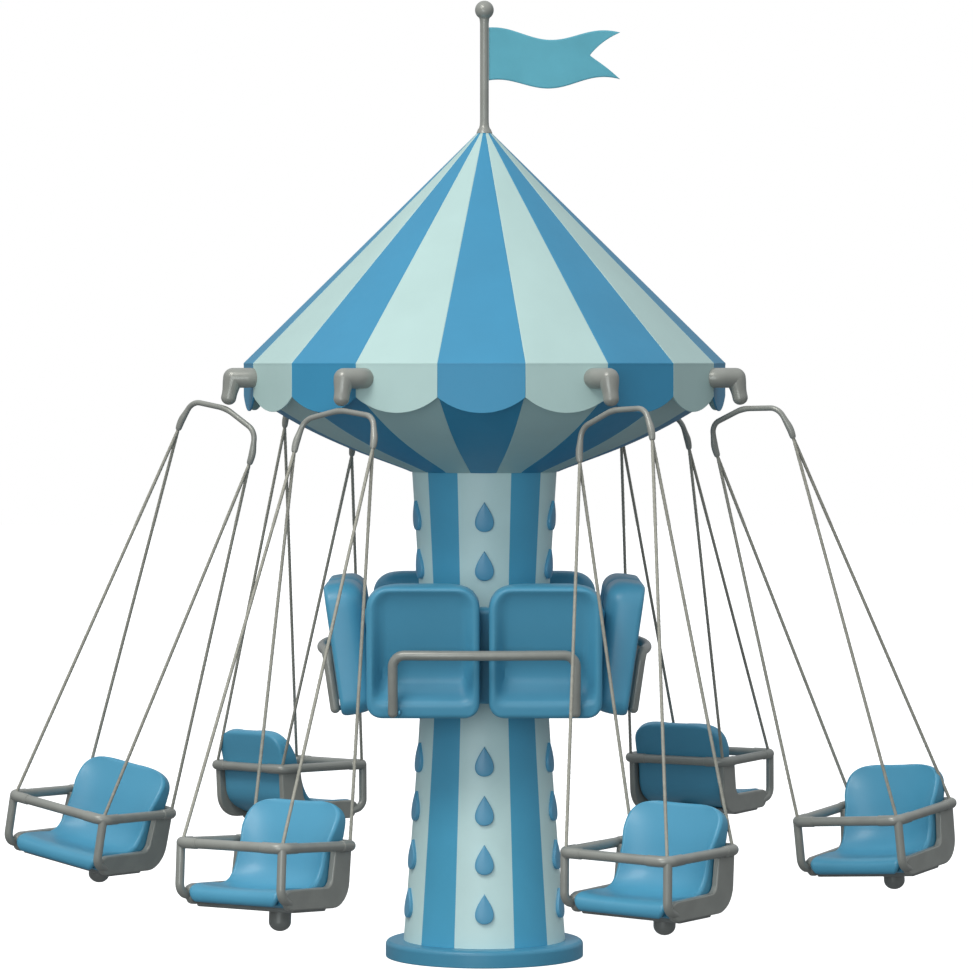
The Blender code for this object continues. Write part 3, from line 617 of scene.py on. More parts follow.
def grained(name, colour, roughness, mottle, mottle_scale, grain_scale, grain, coat=0.0,
            metallic=0.0, sheen=0.0):
    """Finish with cloudy colour, uneven gloss and a fine grain in relief."""
    material = bpy.data.materials.new(name)
    material.use_nodes = True
    tree = material.node_tree
    place = add_node(tree, "TexCoord").outputs["Object"]
    cloud = add_node(tree, "TexNoise", Vector=place, Scale=mottle_scale, Detail=5.0)
    dark, light = [[min(c * shade, 1.0) for c in colour] for shade in (1 - mottle, 1 + mottle)]
    tint = add_ramp(tree, cloud.outputs["Fac"], ((0.32, dark), (0.68, light)))
    rub = add_node(tree, "TexNoise", Vector=place, Scale=mottle_scale * 9, Detail=3.0)
    gloss = add_node(tree, "MapRange", Value=rub.outputs["Fac"], To_Min=roughness - 0.05,
                     To_Max=roughness + 0.05)
    fine = add_node(tree, "TexNoise", Vector=place, Scale=grain_scale, Detail=2.0)
    relief = add_node(tree, "Bump", Height=fine.outputs["Fac"], Strength=grain, Distance=0.001)
    set_inputs(tree.nodes["Principled BSDF"], Base_Color=tint, Metallic=metallic,
               Roughness=gloss.outputs["Result"], Normal=relief.outputs["Normal"],
               Coat_Weight=coat, Coat_Roughness=0.12, Sheen_Weight=sheen)
    return material


def woven(name, colour, roughness, thread=0.0022):
    """Plain weave: two crossed rows of threads in relief, with a little slub in the colour."""
    material = grained(name, colour, roughness, 0.05, 6.0, 500.0, 0.10, sheen=0.15)
    tree = material.node_tree
    place = add_node(tree, "TexCoord").outputs["Object"]
    cross = add_node(tree, "Math")
    cross.operation = "MAXIMUM"
    for axis, socket in zip(("X", "Z"), cross.inputs):
        wave = add_node(tree, "TexWave", Vector=place, Scale=2 * math.pi / (20 * thread),
                        Distortion=0.4, Detail=1.0)
        wave.bands_direction = axis
        tree.links.new(wave.outputs["Fac"], socket)
    shader = tree.nodes["Principled BSDF"]
    relief = add_node(tree, "Bump", Height=cross.outputs["Value"], Strength=0.25,
                      Distance=0.0008, Normal=shader.inputs["Normal"].links[0].from_socket)
    set_inputs(shader, Normal=relief.outputs["Normal"])
    return material


# Name, colour, roughness, mottle, mottle_scale, grain_scale, grain
CANOPY_BLUE = grained("canopy_blue", (0.036, 0.255, 0.440), 0.48, 0.035, 3.0, 220.0, 0.05)
CANOPY_PALE = grained("canopy_pale", (0.430, 0.600, 0.580), 0.48, 0.030, 3.0, 220.0, 0.05)
TOWER_BLUE = grained("tower_blue", (0.074, 0.385, 0.595), 0.42, 0.05, 3.0, 220.0, 0.07)
TOWER_PALE = grained("tower_pale", (0.600, 0.820, 0.810), 0.42, 0.04, 3.0, 220.0, 0.07)
DROP_BLUE = grained("drop_blue", (0.100, 0.350, 0.540), 0.36, 0.05, 3.0, 220.0, 0.06)
BASE_BLUE = grained("base_blue", (0.062, 0.285, 0.440), 0.40, 0.06, 3.0, 220.0, 0.09)
SEAT_BLUE = grained("seat_blue", (0.074, 0.318, 0.485), 0.42, 0.03, 3.0, 220.0, 0.05, coat=0.06)
GREY_PAINT = grained("grey_paint", (0.285, 0.293, 0.268), 0.31, 0.06, 12.0, 420.0, 0.04,
                     metallic=0.14)
DARK_GREY = grained("dark_grey", (0.230, 0.240, 0.228), 0.42, 0.10, 12.0, 420.0, 0.12,
                    metallic=0.2)
ROPE_GREY = grained("rope_grey", (0.350, 0.345, 0.295), 0.70, 0.12, 40.0, 900.0, 0.4)
FLAG_CLOTH_BLUE = woven("flag_cloth", (0.105, 0.400, 0.505), 0.75)


def tower_radius(height):
    """Half width of the waisted tower at this height."""
    rise = height - WAIST_Z
    flare = math.sqrt(rise * rise + WAIST_SOFTNESS ** 2) - WAIST_SOFTNESS
    return WAIST_RADIUS + FLARE_MEAN * rise + FLARE_HALF * flare


def on_tower(arc, height, proud, bearing):
    """Point this far along the tower's skin from a bearing, and this proud of it."""
    radius = tower_radius(height)
    return polar(bearing + math.degrees(arc / radius), radius + proud, height)


def make_base():
    profile = [(0.0, 0.0)]
    profile += [(BASE_FOOT_EDGE * (1 - c), BASE_RADIUS - BASE_FOOT_EDGE * (1 - s))
                for c, s in quarter_turn(3)]
    profile += [(BASE_HEIGHT - BASE_EDGE * (1 - s), BASE_RADIUS - BASE_EDGE * (1 - c))
                for c, s in quarter_turn(8)]
    profile += [(BASE_HEIGHT, tower_radius(BASE_HEIGHT) - BASE_LAP), (BASE_HEIGHT, 0.0)]
    bm = bmesh.new()
    add_turned(bm, profile, (0, 0, 0), BASE_STEPS)
    shape(bm, "base", [BASE_BLUE], 30, "tower", "base_blue", "base_plinth", flats=True)


def stripe_angles():
    """Bearings of the tower's columns of points, and which material each column takes."""
    angles = []
    paints = []
    for stripe in range(STRIPES):
        start = stripe * 360 / STRIPES - PALE_ANGLE / 2
        pale = (0, start, PALE_ANGLE, PALE_STEPS)
        blue = (1, start + PALE_ANGLE, 360 / STRIPES - PALE_ANGLE, BLUE_STEPS)
        for paint, first, width, steps in (pale, blue):
            angles += [first + width * step / steps for step in range(steps)]
            paints += [paint] * steps
    return angles, paints


def make_tower():
    angles, paints = stripe_angles()
    rings = []
    for level in range(TOWER_LEVELS + 1):
        height = TOWER_FOOT + (TOWER_TOP - TOWER_FOOT) * level / TOWER_LEVELS
        rings.append([polar(angle, tower_radius(height), height) for angle in angles])
    bm = bmesh.new()
    skin(bm, rings, lambda column: paints[column])
    shape(bm, "tower", [TOWER_PALE, TOWER_BLUE], 60, "tower", "tower_pale", "tower_column")


def drop_outline():
    """Half-sized outline of a drop: a point at the top and a round end below."""
    points = []
    for index in range(DROP_POINTS):
        angle = 2 * math.pi * index / DROP_POINTS
        across = DROP_SLIMNESS * math.sin(angle) * math.sin(angle / 2) ** DROP_FULLNESS
        points.append((across, math.cos(angle)))
    return points


def make_drops():
    """Raised drops with rounded edges, a column of them on each pale stripe."""
    half = DROP_HEIGHT / 2
    layers = [(1.0, -DROP_SUNK)]
    layers += [(1 - DROP_EDGE * (1 - c) / half, DROP_PROUD - DROP_EDGE * (1 - s))
               for c, s in quarter_turn(4)]
    layers += [(share, DROP_PROUD + DROP_CROWN * (1 - share * share))
               for share in DROP_CROWN_ROWS]
    bm = bmesh.new()
    for stripe in range(STRIPES):
        bearing = stripe * 360 / STRIPES
        for row in DROP_ROWS:
            middle = DROP_TIP_Z - DROP_PITCH * row - half
            rings = [[on_tower(a * half * scale,
                               middle + (b * scale + DROP_HEART * (1 - scale)) * half,
                               proud, bearing) for a, b in drop_outline()]
                     for scale, proud in layers]
            heart = middle + DROP_HEART * half
            rings.append([on_tower(0.0, heart, DROP_PROUD + DROP_CROWN, bearing)])
            skin(bm, rings)
    shape(bm, "tower_drops", [DROP_BLUE], 50, "tower", "base_blue", "tower_column")


def panel_paint(index):
    """Material of a canopy panel: the front one is blue, and they take turns."""
    front = PANELS * 3 // 4
    return (index - front) % 2


def panel_point(radius, height, index, share):
    """Point on a flat canopy panel, this share of the way across it."""
    turns = [math.radians((index + side) * PANEL_ANGLE + CANOPY_TURN) for side in (0, 1)]
    left, right = [Vector((radius * math.cos(turn), radius * math.sin(turn), height))
                   for turn in turns]
    return left.lerp(right, share)


def panel_normal(index):
    middle = math.radians((index + 0.5) * PANEL_ANGLE + CANOPY_TURN)
    return Vector((math.cos(middle), math.sin(middle), 0.0))


def panel_shares():
    """Places across a panel; None is a point that follows the seam beside it."""
    inner = [step / PANEL_STEPS for step in range(1, PANEL_STEPS)]
    return [0.0, None, *inner, None, 1.0]


def make_panels(name, profile, normals, depth, node):
    """Striped cone of panels with fine seams: profile (radius, height) from the rim inward."""
    places = panel_shares()
    last = len(places) - 1
    bm = bmesh.new()
    for index in range(PANELS):
        columns = []
        for order, place in enumerate(places):
            outer = []
            inner = []
            for (radius, height), (out, up) in zip(profile, normals):
                width = 2 * radius * math.sin(math.radians(PANEL_ANGLE / 2))
                seam = min(SEAM_WIDTH / width, 0.5 / PANEL_STEPS)
                share = place
                if place is None:
                    share = seam if order == 1 else 1 - seam
                fall = 0.0
                if order in (0, last):
                    fall = SEAM_DEPTH * min(width / SEAM_FULL_WIDTH, 1.0)
                fade = min(width / CROWN_FULL_WIDTH, abs(height - RIM_Z) / CROWN_FULL_RISE, 1.0)
                crown = PANEL_CROWN * fade * (1 - (2 * share - 1) ** 2)
                normal = panel_normal(index) * out + Vector((0.0, 0.0, up))
                point = panel_point(radius, height, index, share)
                outer.append(point + normal * (crown - fall))
                inner.append(point - normal * depth)
            columns.append(outer + inner[::-1])
        skin(bm, columns, panel_paint(index))
    shape(bm, name, [CANOPY_BLUE, CANOPY_PALE], 25, "canopy", "canopy_blue", node)


def unit(out, up):
    length = math.hypot(out, up)
    return out / length, up / length


def make_roof():
    shoulder = RIM_Z + ROOF_SHOULDER
    rise = APEX_Z - shoulder
    slope = unit(rise, ROOF_RADIUS - ROOF_TOP_RADIUS)
    run = unit(ROOF_TOP_RADIUS - ROOF_RADIUS, rise)
    profile = [(ROOF_RADIUS, RIM_Z - ROOF_LAP), (ROOF_RADIUS, RIM_Z)]
    normals = [(1.0, 0.0), (1.0, 0.0)]
    for step in range(ROOF_RIM_STEPS + 1):
        share = step / ROOF_RIM_STEPS
        out, up = unit(1.0 + (slope[0] - 1.0) * share, slope[1] * share)
        profile.append((ROOF_RADIUS - ROOF_RIM_EDGE * (1 - out),
                        shoulder - ROOF_RIM_EDGE * (1 - up)))
        normals.append((out, up))
    radius, height = profile[-1]
    length = (radius - ROOF_TOP_RADIUS) / -run[0]
    for share in ROOF_ROWS:
        profile.append((radius + run[0] * length * share, height + run[1] * length * share))
        normals.append(slope)
    make_panels("roof", profile, normals, ROOF_SKIN, "roof_cone")


def make_underside():
    curve = flowing([(radius, RIM_Z - drop) for radius, drop in FUNNEL_PROFILE], FUNNEL_STEPS)
    normals = [unit(before.y - after.y, after.x - before.x)
               for before, point, after in neighbours(curve)]
    make_panels("canopy_lining", curve, normals, FUNNEL_SKIN, "canopy_underside")


def scallop_outline():
    """Outline of one valance panel, as (along, up) from its top left corner."""
    chord = 2 * VALANCE_RADIUS * math.sin(math.radians(PANEL_ANGLE / 2))
    drop = VALANCE_DEPTH - VALANCE_NOTCH
    arc_radius = (chord * chord / 4 + drop * drop) / (2 * drop)
    half_arc = math.asin(chord / 2 / arc_radius)
    right = chord - SCALLOP_GAP
    points = [(right, 0.0), (SCALLOP_GAP, 0.0), (SCALLOP_GAP, -VALANCE_NOTCH)]
    for step in range(1, SCALLOP_STEPS):
        angle = half_arc * (1 - 2 * step / SCALLOP_STEPS)
        sag = arc_radius * (math.cos(angle) - math.cos(half_arc))
        points.append((chord / 2 - arc_radius * math.sin(angle), -VALANCE_NOTCH - sag))
    points.append((right, -VALANCE_NOTCH))
    return points, chord


def make_valance():
    bm = bmesh.new()
    outline, chord = scallop_outline()
    for index in range(PANELS):
        start, end = [panel_point(VALANCE_RADIUS, RIM_Z - VALANCE_GAP, index, share)
                      for share in (0.0, 1.0)]
        along = (end - start) / chord
        inward = -panel_normal(index)

        def place(a, b, c):
            return start + along * a + Vector((0.0, 0.0, b)) + inward * c

        add_slab(bm, outline, place, VALANCE_THICKNESS, VALANCE_EDGE, panel_paint(index))
    shape(bm, "valance_scallops", [CANOPY_BLUE, CANOPY_PALE], 40, "canopy", "canopy_pale",
          "valance", flats=True)


def make_pole():
    """Mast with a collar at the roof's tip and a ball on top."""
    profile = [(POLE_FOOT_Z, 0.0), (POLE_FOOT_Z, POLE_FOOT_RADIUS)]
    profile += [(APEX_Z + rise, radius) for rise, radius in POLE_COLLAR]
    ball_foot = FINIAL_Z - FINIAL_RADIUS * math.cos(FINIAL_NECK)
    profile += [(ball_foot + rise, radius) for rise, radius in FINIAL_COLLAR]
    for step in range(FINIAL_STEPS):
        angle = FINIAL_NECK + (math.pi - FINIAL_NECK) * step / FINIAL_STEPS
        profile.append((FINIAL_Z - FINIAL_RADIUS * math.cos(angle),
                        FINIAL_RADIUS * math.sin(angle)))
    profile.append((FINIAL_Z + FINIAL_RADIUS, 0.0))
    bm = bmesh.new()
    add_turned(bm, profile, (0, 0, 0), POLE_SIDES)
    return shape(bm, "flag_mast", [GREY_PAINT], 40, "canopy", "grey_steel", "flagpole")


def flag_edges(share):
    """Top and bottom height of the flag at this share of its length."""
    wave = math.sin(share * FLAG_WAVE_TURN + FLAG_WAVE_START)
    middle = FLAG_Z - FLAG_WAVE * wave
    half = FLAG_HALF_WIDTH - FLAG_TAPER * (1 - (1 - share) ** 2)
    return middle + half, middle - half


def make_flag(mast):
    """Swallow-tailed pennant that blows to the right in soft folds."""
    bm = bmesh.new()
    notch = (FLAG_NOTCH_X - FLAG_START_X) / FLAG_LENGTH
    rows = []
    for row in range(FLAG_ROWS + 1):
        across = row / FLAG_ROWS
        reach = notch + (1 - notch) * abs(2 * across - 1) ** FLAG_TAIL_CURVE
        line = []
        for column in range(FLAG_COLUMNS + 1):
            share = reach * column / FLAG_COLUMNS
            high, low = flag_edges(share)
            fold = math.sin(share * FLAG_FOLD_TURN + FLAG_FOLD_SLANT * across)
            sway = fold * FLAG_BILLOW * min(share / FLAG_BILLOW_START, 1.0)
            x = FLAG_START_X + FLAG_LENGTH * share
            line.append(bm.verts.new((x, sway, low + (high - low) * across)))
        rows.append(line)
    for low, high in zip(rows, rows[1:]):
        for index in range(FLAG_COLUMNS):
            bm.faces.new((low[index], low[index + 1], high[index + 1], high[index]))
    mesh = mesh_of(bm, "pennant", [FLAG_CLOTH_BLUE], 60)
    obj = piece("pennant", mesh, "canopy", "flag_turquoise", "flag")
    cloth = obj.modifiers.new("cloth_thickness", "SOLIDIFY")
    cloth.thickness = FLAG_CLOTH
    cloth.offset = 0.0


def pivot_of(name):
    """Where a chair's joint turns, from the frame."""
    for joint in frame["joints"]:
        if joint["name"] == f"{name}_swing":
            return Vector(joint["pos_m"])
    raise KeyError(name)


def make_arm(name, root, bearing):
    """Tube from the hub out through the valance, round an elbow and down to the chair's bow."""
    along = hanging(LEG_LEAN, bearing)
    tip = pivot_of(name) - along * LEG_END_GAP
    elbow = tip + along * ((ARM_Z - tip.z) / along.z)
    start, bend = [polar(root, reach, ARM_Z) for reach in (ARM_INNER_END, ARM_BEND_REACH)]
    outward = (elbow - bend).normalized()
    path = rounded_path([start, bend, elbow], [0.0, ARM_BEND_RADIUS, 0.0], ELBOW_STEPS)
    radii = [ARM_RADIUS] * len(path)
    for distance, radius in rounded_end(ARM_RADIUS, ARM_RADIUS, 10)[:-1]:
        path.append(elbow + outward * distance)
        radii.append(radius)
    bm = bmesh.new()
    add_tube(bm, path, radii, ARM_SIDES)
    stop = tip - along * LEG_END_EDGE
    path = densified([elbow, stop], PATH_STEP)
    taper = ARM_RADIUS - LEG_RADIUS
    radii = [ARM_RADIUS - LEG_SHY - taper * ease((point - elbow).length / ELBOW_TAPER)
             for point in path]
    for c, s in quarter_turn(8)[1:]:
        path.append(stop + along * (LEG_END_EDGE * s))
        radii.append(LEG_RADIUS - LEG_END_EDGE * (1 - c))
    add_tube(bm, path, radii, ARM_SIDES)
    shape(bm, f"elbow_arm_{name}", [GREY_PAINT], 40, "canopy", "grey_steel", f"arm_{name}")


def chair_matrix(centre, facing, ring_tip, bearing):
    """Frame of a swing chair: -Y is the way it faces, +Z up through its ring."""
    angle = math.radians(ring_tip)
    up = Vector((0.0, 0.0, math.cos(angle))) - direction(bearing) * math.sin(angle)
    back = -direction(facing)
    back = (back - up * back.dot(up)).normalized()
    across = back.cross(up)
    rotation = Matrix((across, back, up)).transposed().to_4x4()
    return Matrix.Translation(centre) @ rotation


def add_rope(bm, start, end):
    """Laid rope: three strands that turn about each other, as one lobed skin."""
    along = (end - start).normalized()
    side = along.orthogonal().normalized()
    other = along.cross(side)
    length = (end - start).length
    count = round(length / ROPE_LAY * ROPE_TURN_STEPS)
    rings = []
    for row in range(count + 1):
        place = start + along * (length * row / count)
        turn = 2 * math.pi * row / ROPE_TURN_STEPS
        ring = []
        for index in range(ROPE_SIDES):
            angle = 2 * math.pi * index / ROPE_SIDES
            lobe = abs(math.cos(ROPE_STRANDS * angle / 2))
            radius = ROPE_RADIUS * (1 - ROPE_GROOVE * (1 - lobe))
            spoke = side * math.cos(angle + turn) + other * math.sin(angle + turn)
            ring.append(place + spoke * radius)
        rings.append(ring)
    skin(bm, rings)


def densified(points, spacing):
    """The same path with more points on its long straight runs."""
    result = [points[0]]
    for start, end in zip(points, points[1:]):
        count = max(round((end - start).length / spacing), 1)
        result += [start.lerp(end, step / count) for step in range(1, count + 1)]
    return result


def distances(points):
    """How far along a path each of its points lies."""
    reached = [0.0]
    for first, second in zip(points, points[1:]):
        reached.append(reached[-1] + (second - first).length)
    return reached


def make_hanger(name, pivot, ropes, bow_facing, ring_place):
    """Arched bow with slim ferrules, and the four ropes down to the guard ring."""
    across = direction(bow_facing + 90)
    across = (across - ropes * across.dot(ropes)).normalized()
    ends = [pivot + across * (sign * YOKE_HALF_WIDTH) + ropes * YOKE_DROP for sign in (-1, 1)]
    shoulders = [pivot + across * (sign * YOKE_SHOULDER) + ropes * YOKE_ARCH for sign in (-1, 1)]
    tails = [end + ropes * FERRULE_TAIL for end in ends]
    crest = pivot - ropes * YOKE_LIFT
    corners = [tails[0], ends[0], shoulders[0], crest, shoulders[1], ends[1], tails[1]]
    bends = [0.0, FERRULE_BEND, YOKE_CORNER, YOKE_CREST, YOKE_CORNER, FERRULE_BEND, 0.0]
    path = densified(rounded_path(corners, bends, 12), PATH_STEP)
    reached = distances(path)
    radii = []
    for point, place in zip(path, reached):
        swell = ease(1 - (point - pivot).length / YOKE_SWELL_REACH)
        inside = min(place, reached[-1] - place, FERRULE[-1][0])
        radii.append(between(FERRULE, inside) + (YOKE_SWELL - YOKE_RADIUS) * swell)
    bow = bmesh.new()
    add_tube(bow, path, radii, YOKE_SIDES)
    lines = bmesh.new()
    hitch = RING_HALF - RING_CORNER * (1 - math.sqrt(0.5))
    for tail, sign in zip(tails, (-1, 1)):
        for back_sign in (-1, 1):
            target = ring_place @ Vector((sign * hitch, back_sign * hitch, 0.0))
            along = (target - tail).normalized()
            stop = target - along * (RING_RADIUS - ROPE_SUNK)
            add_rope(lines, tail - along * ROPE_START, stop)
    for part, bm, paint, sharp, slot in (("bow", bow, GREY_PAINT, 60, "grey_steel"),
                                         ("ropes", lines, ROPE_GREY, 80, "rope_grey")):
        shape(bm, f"{part}_{name}", [paint], sharp, f"swing_{name}", slot, f"hanger_{name}")


def add_side_plate(bm, corners, low, high, edge, material=0, steps=8):
    """Plate from low to high across the chair, given by the (back, up, corner radius) of
    its side view."""
    outline = rounded_path([(back, up, 0.0) for back, up, radius in corners],
                           [radius for back, up, radius in corners], steps, cyclic=True)
    add_slab(bm, [point.xy for point in outline], lambda a, b, c: Vector((low + c, a, b)),
             high - low, edge, material)


def add_corner_sleeve(bm, sign_x, sign_y):
    """Bent sleeve over a corner of the guard ring."""
    corner = Vector((sign_x * RING_HALF, sign_y * RING_HALF, 0.0))
    reach = RING_CORNER + SLEEVE_REACH
    start = corner - Vector((sign_x * reach, 0.0, 0.0))
    end = corner - Vector((0.0, sign_y * reach, 0.0))
    path = rounded_path([start, corner, end], RING_CORNER, 8)
    along = (path[1] - path[0]).normalized() * SLEEVE_LIP
    back = (path[-2] - path[-1]).normalized() * SLEEVE_LIP
    path = [path[0], path[0] + along, *path[1:-1], path[-1] + back, path[-1]]
    lip = SLEEVE_RADIUS - SLEEVE_LIP
    add_tube(bm, path, [lip] + [SLEEVE_RADIUS] * (len(path) - 2) + [lip])


def chair_frame_mesh():
    """Guard ring with corner sleeves, front bars, side cheeks, bottom plate and knob."""
    bm = bmesh.new()
    turns = ((-1, -1), (1, -1), (1, 1), (-1, 1))
    corners = [(x * RING_HALF, y * RING_HALF, 0.0) for x, y in turns]
    add_tube(bm, rounded_path(corners, RING_CORNER, 8, cyclic=True), RING_RADIUS, cyclic=True)
    for x, y in turns:
        add_corner_sleeve(bm, x, y)
    cheek_middle = (CHEEK_INNER + CHEEK_OUTER) / 2
    bar_x = RING_HALF - FRONT_BAR_INSET
    for sign in (-1, 1):
        low, high = sorted((sign * CHEEK_INNER, sign * CHEEK_OUTER))
        add_side_plate(bm, CHEEK_SIDE, low, high, CHEEK_EDGE)
        bar = [(sign * width, back, up)
               for width, (back, up) in zip((bar_x, bar_x, cheek_middle), FRONT_BAR_SIDE)]
        path = densified(rounded_path(bar, FRONT_BAR_CORNER, 10), FRONT_BAR_STEP)
        fuller = FRONT_BAR_RADIUS - FRONT_BAR_END
        radii = [FRONT_BAR_END + fuller * ease((point - path[-1]).length / FRONT_BAR_TAPER)
                 for point in path]
        add_tube(bm, path, radii, FRONT_BAR_SIDES)
    add_side_plate(bm, PLATE_SIDE, -cheek_middle, cheek_middle, PLATE_EDGE, 1, steps=4)
    profile = [(KNOB_TOP - drop, radius) for drop, radius in KNOB_FLANGE]
    profile += [(KNOB_BOTTOM + KNOB_TIP - distance, radius) for distance, radius
                in [(0.0, KNOB_RADIUS), *rounded_end(KNOB_RADIUS, KNOB_TIP, 8)]]
    add_turned(bm, profile, (0.0, KNOB_PLACE, 0.0), KNOB_SIDES, material=1)
    return mesh_of(bm, "chair_tubework", [GREY_PAINT, DARK_GREY], 40)


def shell_half_width(place, length):
    """Half width of the moulded chair, rounded off at its lip and at its top."""
    half = SHELL_HALF_WIDTH
    for inside, corner in ((place, SHELL_LIP_CORNER), (length - place, SHELL_TOP_CORNER)):
        wide, long, power = corner
        if inside < long:
            half -= wide * (1 - max(1 - (1 - inside / long) ** power, 0.0) ** (1 / power))
    return half


def shell_rows():
    """Stations of the moulded chair at even steps, closer together at its two ends, and how
    far along the chair each one lies."""
    fine = flowing(SHELL_STATIONS, SHELL_FINE_STEPS)
    reached = distances([station.xy for station in fine])
    length = reached[-1]
    reach = SHELL_TOP_CORNER[1]
    ends = [reach * (1 - c) for c, s in quarter_turn(SHELL_END_ROWS)[:-1]]
    count = round((length - 2 * reach) / SHELL_ROW)
    places = ends + [reach + (length - 2 * reach) * step / count for step in range(count + 1)]
    places += [length - end for end in ends[::-1]]
    rows = []
    index = 0
    for place in places:
        while index < len(fine) - 2 and reached[index + 1] < place:
            index += 1
        share = (place - reached[index]) / (reached[index + 1] - reached[index])
        rows.append(fine[index].lerp(fine[index + 1], min(share, 1.0)))
    return rows, places


def loop_of(half, dish, depth, front_fall, rear_fall, hollow, edges, rear_half, across):
    """Closed cross-section as (across, inward) pairs: a hollowed face, rounded edges and a
    narrower rear."""
    room = depth + dish(1.0) - front_fall - rear_fall
    fit = min(EDGE_ROOM * room / sum(edges), 1.0)
    front_edge, rear_edge = [edge * fit for edge in edges]
    face = []
    for index in range(across + 1):
        u = math.sin((2 * index / across - 1) * math.pi / 2)
        u = math.copysign(abs(u) ** FACE_SPREAD, u)
        x = u * (half - front_edge)
        face.append((x, dish(u) - hollow(half - abs(x)) - front_fall))
    top = dish(1.0) - front_fall
    bottom = rear_fall - depth
    flat = rear_half - rear_edge
    turn = quarter_turn(EDGE_STEPS)
    corner = [(half - front_edge * (1 - s), top - front_edge * (1 - c)) for c, s in turn[1:]]
    corner += [(flat + rear_edge * c, bottom + rear_edge * (1 - s)) for c, s in turn]
    rear = [(flat * (1 - 2 * step / EDGE_STEPS), bottom) for step in range(1, EDGE_STEPS)]
    return face + corner + rear + [(-x, inward) for x, inward in corner[::-1]]


def chair_shell_mesh():
    """Moulded bucket seat: dished face, thick round edges, deep sides behind."""
    rows, places = shell_rows()
    rings = []
    for place, (before, row, after) in zip(places, neighbours(rows)):
        back, up, lift, depth = row
        along = (after.xy - before.xy).normalized()
        inward = Vector((0.0, -along.y, along.x))
        shoulder = SHELL_SHOULDER * ease((up - SHELL_SHOULDER_START) / SHELL_SHOULDER_RISE)
        half = shell_half_width(place, places[-1]) + shoulder
        fall = quarter(SHELL_EDGE, min(place, places[-1] - place))
        edge = min(SHELL_EDGE, (depth + lift) * SHELL_EDGE_SHARE - fall * SHELL_EDGE_FADE)
        ring = loop_of(half, lambda u: lift * abs(u) ** 3, depth, fall, fall,
                       lambda inset: 0.0, (edge, edge), half * SHELL_REAR_SHARE, SHELL_ACROSS)
        rings.append([Vector((x, back, up)) + inward * w for x, w in ring])
    bm = bmesh.new()
    skin(bm, rings)
    return mesh_of(bm, "chair_bucket", [SEAT_BLUE], 60)


def make_swing(name, tilt, bearing, bow_facing, facing, ring_tip, tubework, bucket):
    pivot = pivot_of(name)
    ropes = hanging(tilt, bearing)
    place = chair_matrix(pivot + ropes * ROPE_LENGTH, facing, ring_tip, bearing)
    make_hanger(name, pivot, ropes, bow_facing, place)
    body = f"swing_{name}"
    piece(f"tubework_{name}", tubework, body, "grey_steel", f"chair_frame_{name}", matrix=place,
          flats=True)
    piece(f"bucket_{name}", bucket, body, "seat_blue", f"chair_shell_{name}", matrix=place)


def rim_out(height):
    """How far out from the tower's axis the front of the drop seats stands at this height."""
    return SEAT_LIP_OUT + (height - SEAT_BOTTOM_Z) * math.tan(math.radians(SEAT_LEAN))


def seat_heights():
    """Heights of a drop seat's rows, close together at its rounded ends."""
    shares = [step / SEAT_ROWS for step in range(SEAT_ROWS + 1)]
    return [SEAT_HEIGHT * (share - SEAT_ROW_SPREAD * math.sin(2 * math.pi * share))
            for share in shares]


def drop_seat_mesh(hand):
    """One moulded seat of a pair, in its place at the front of the tower, and the lug that
    carries the lap bar's end. Its outer side is mitred against the next side's seat."""
    lean = Matrix.Rotation(math.radians(SEAT_LEAN), 4, "X")
    place = Matrix.Translation((hand * SEAT_OFFSET, -SEAT_LIP_OUT, SEAT_BOTTOM_Z)) @ lean
    low_corner, high_corner = SEAT_CORNERS
    rings = []
    for height in seat_heights():
        below = SEAT_HEIGHT - height
        inside = min(height, below)
        half = SEAT_WIDTH / 2 - quarter(low_corner, height) - quarter(high_corner, below)
        deep = between(SEAT_HOLLOW, height)
        ring = loop_of(half, lambda u: 0.0, SEAT_THICKNESS, quarter(SEAT_FRONT_EDGE, inside),
                       quarter(SEAT_REAR_EDGE, inside),
                       lambda inset: deep * ease((inset - SEAT_CREST) / SEAT_SLOPE),
                       (SEAT_FRONT_EDGE, SEAT_REAR_EDGE), half, SEAT_ACROSS)
        row = []
        for x, inward in ring:
            point = place @ Vector((x, -inward, height))
            limit = -point.y - SEAT_MITRE
            if point.x * hand > limit:
                point.x = limit * hand
            row.append(point)
        rings.append(row)
    bm = bmesh.new()
    skin(bm, rings)
    beside = hand * (LAP_HALF_WIDTH - LAP_RADIUS - LAP_LUG_GAP - LAP_LUG_WIDTH / 2)
    lug = Vector((beside - LAP_LUG_WIDTH / 2, -rim_out(LAP_PIVOT_Z) - LAP_STANDOFF, LAP_PIVOT_Z))
    outline = [(LAP_LUG_LENGTH, LAP_LUG_RADIUS)]
    for step in range(LAP_LUG_STEPS + 1):
        angle = math.radians(90 + 180 * step / LAP_LUG_STEPS)
        outline.append((LAP_LUG_RADIUS * math.cos(angle), LAP_LUG_RADIUS * math.sin(angle)))
    outline.append((LAP_LUG_LENGTH, -LAP_LUG_RADIUS))
    add_slab(bm, outline, lambda a, b, c: lug + Vector((c, a, b)), LAP_LUG_WIDTH, LAP_LUG_EDGE)
    return mesh_of(bm, f"moulded_seat_{hand}", [SEAT_BLUE], 50)


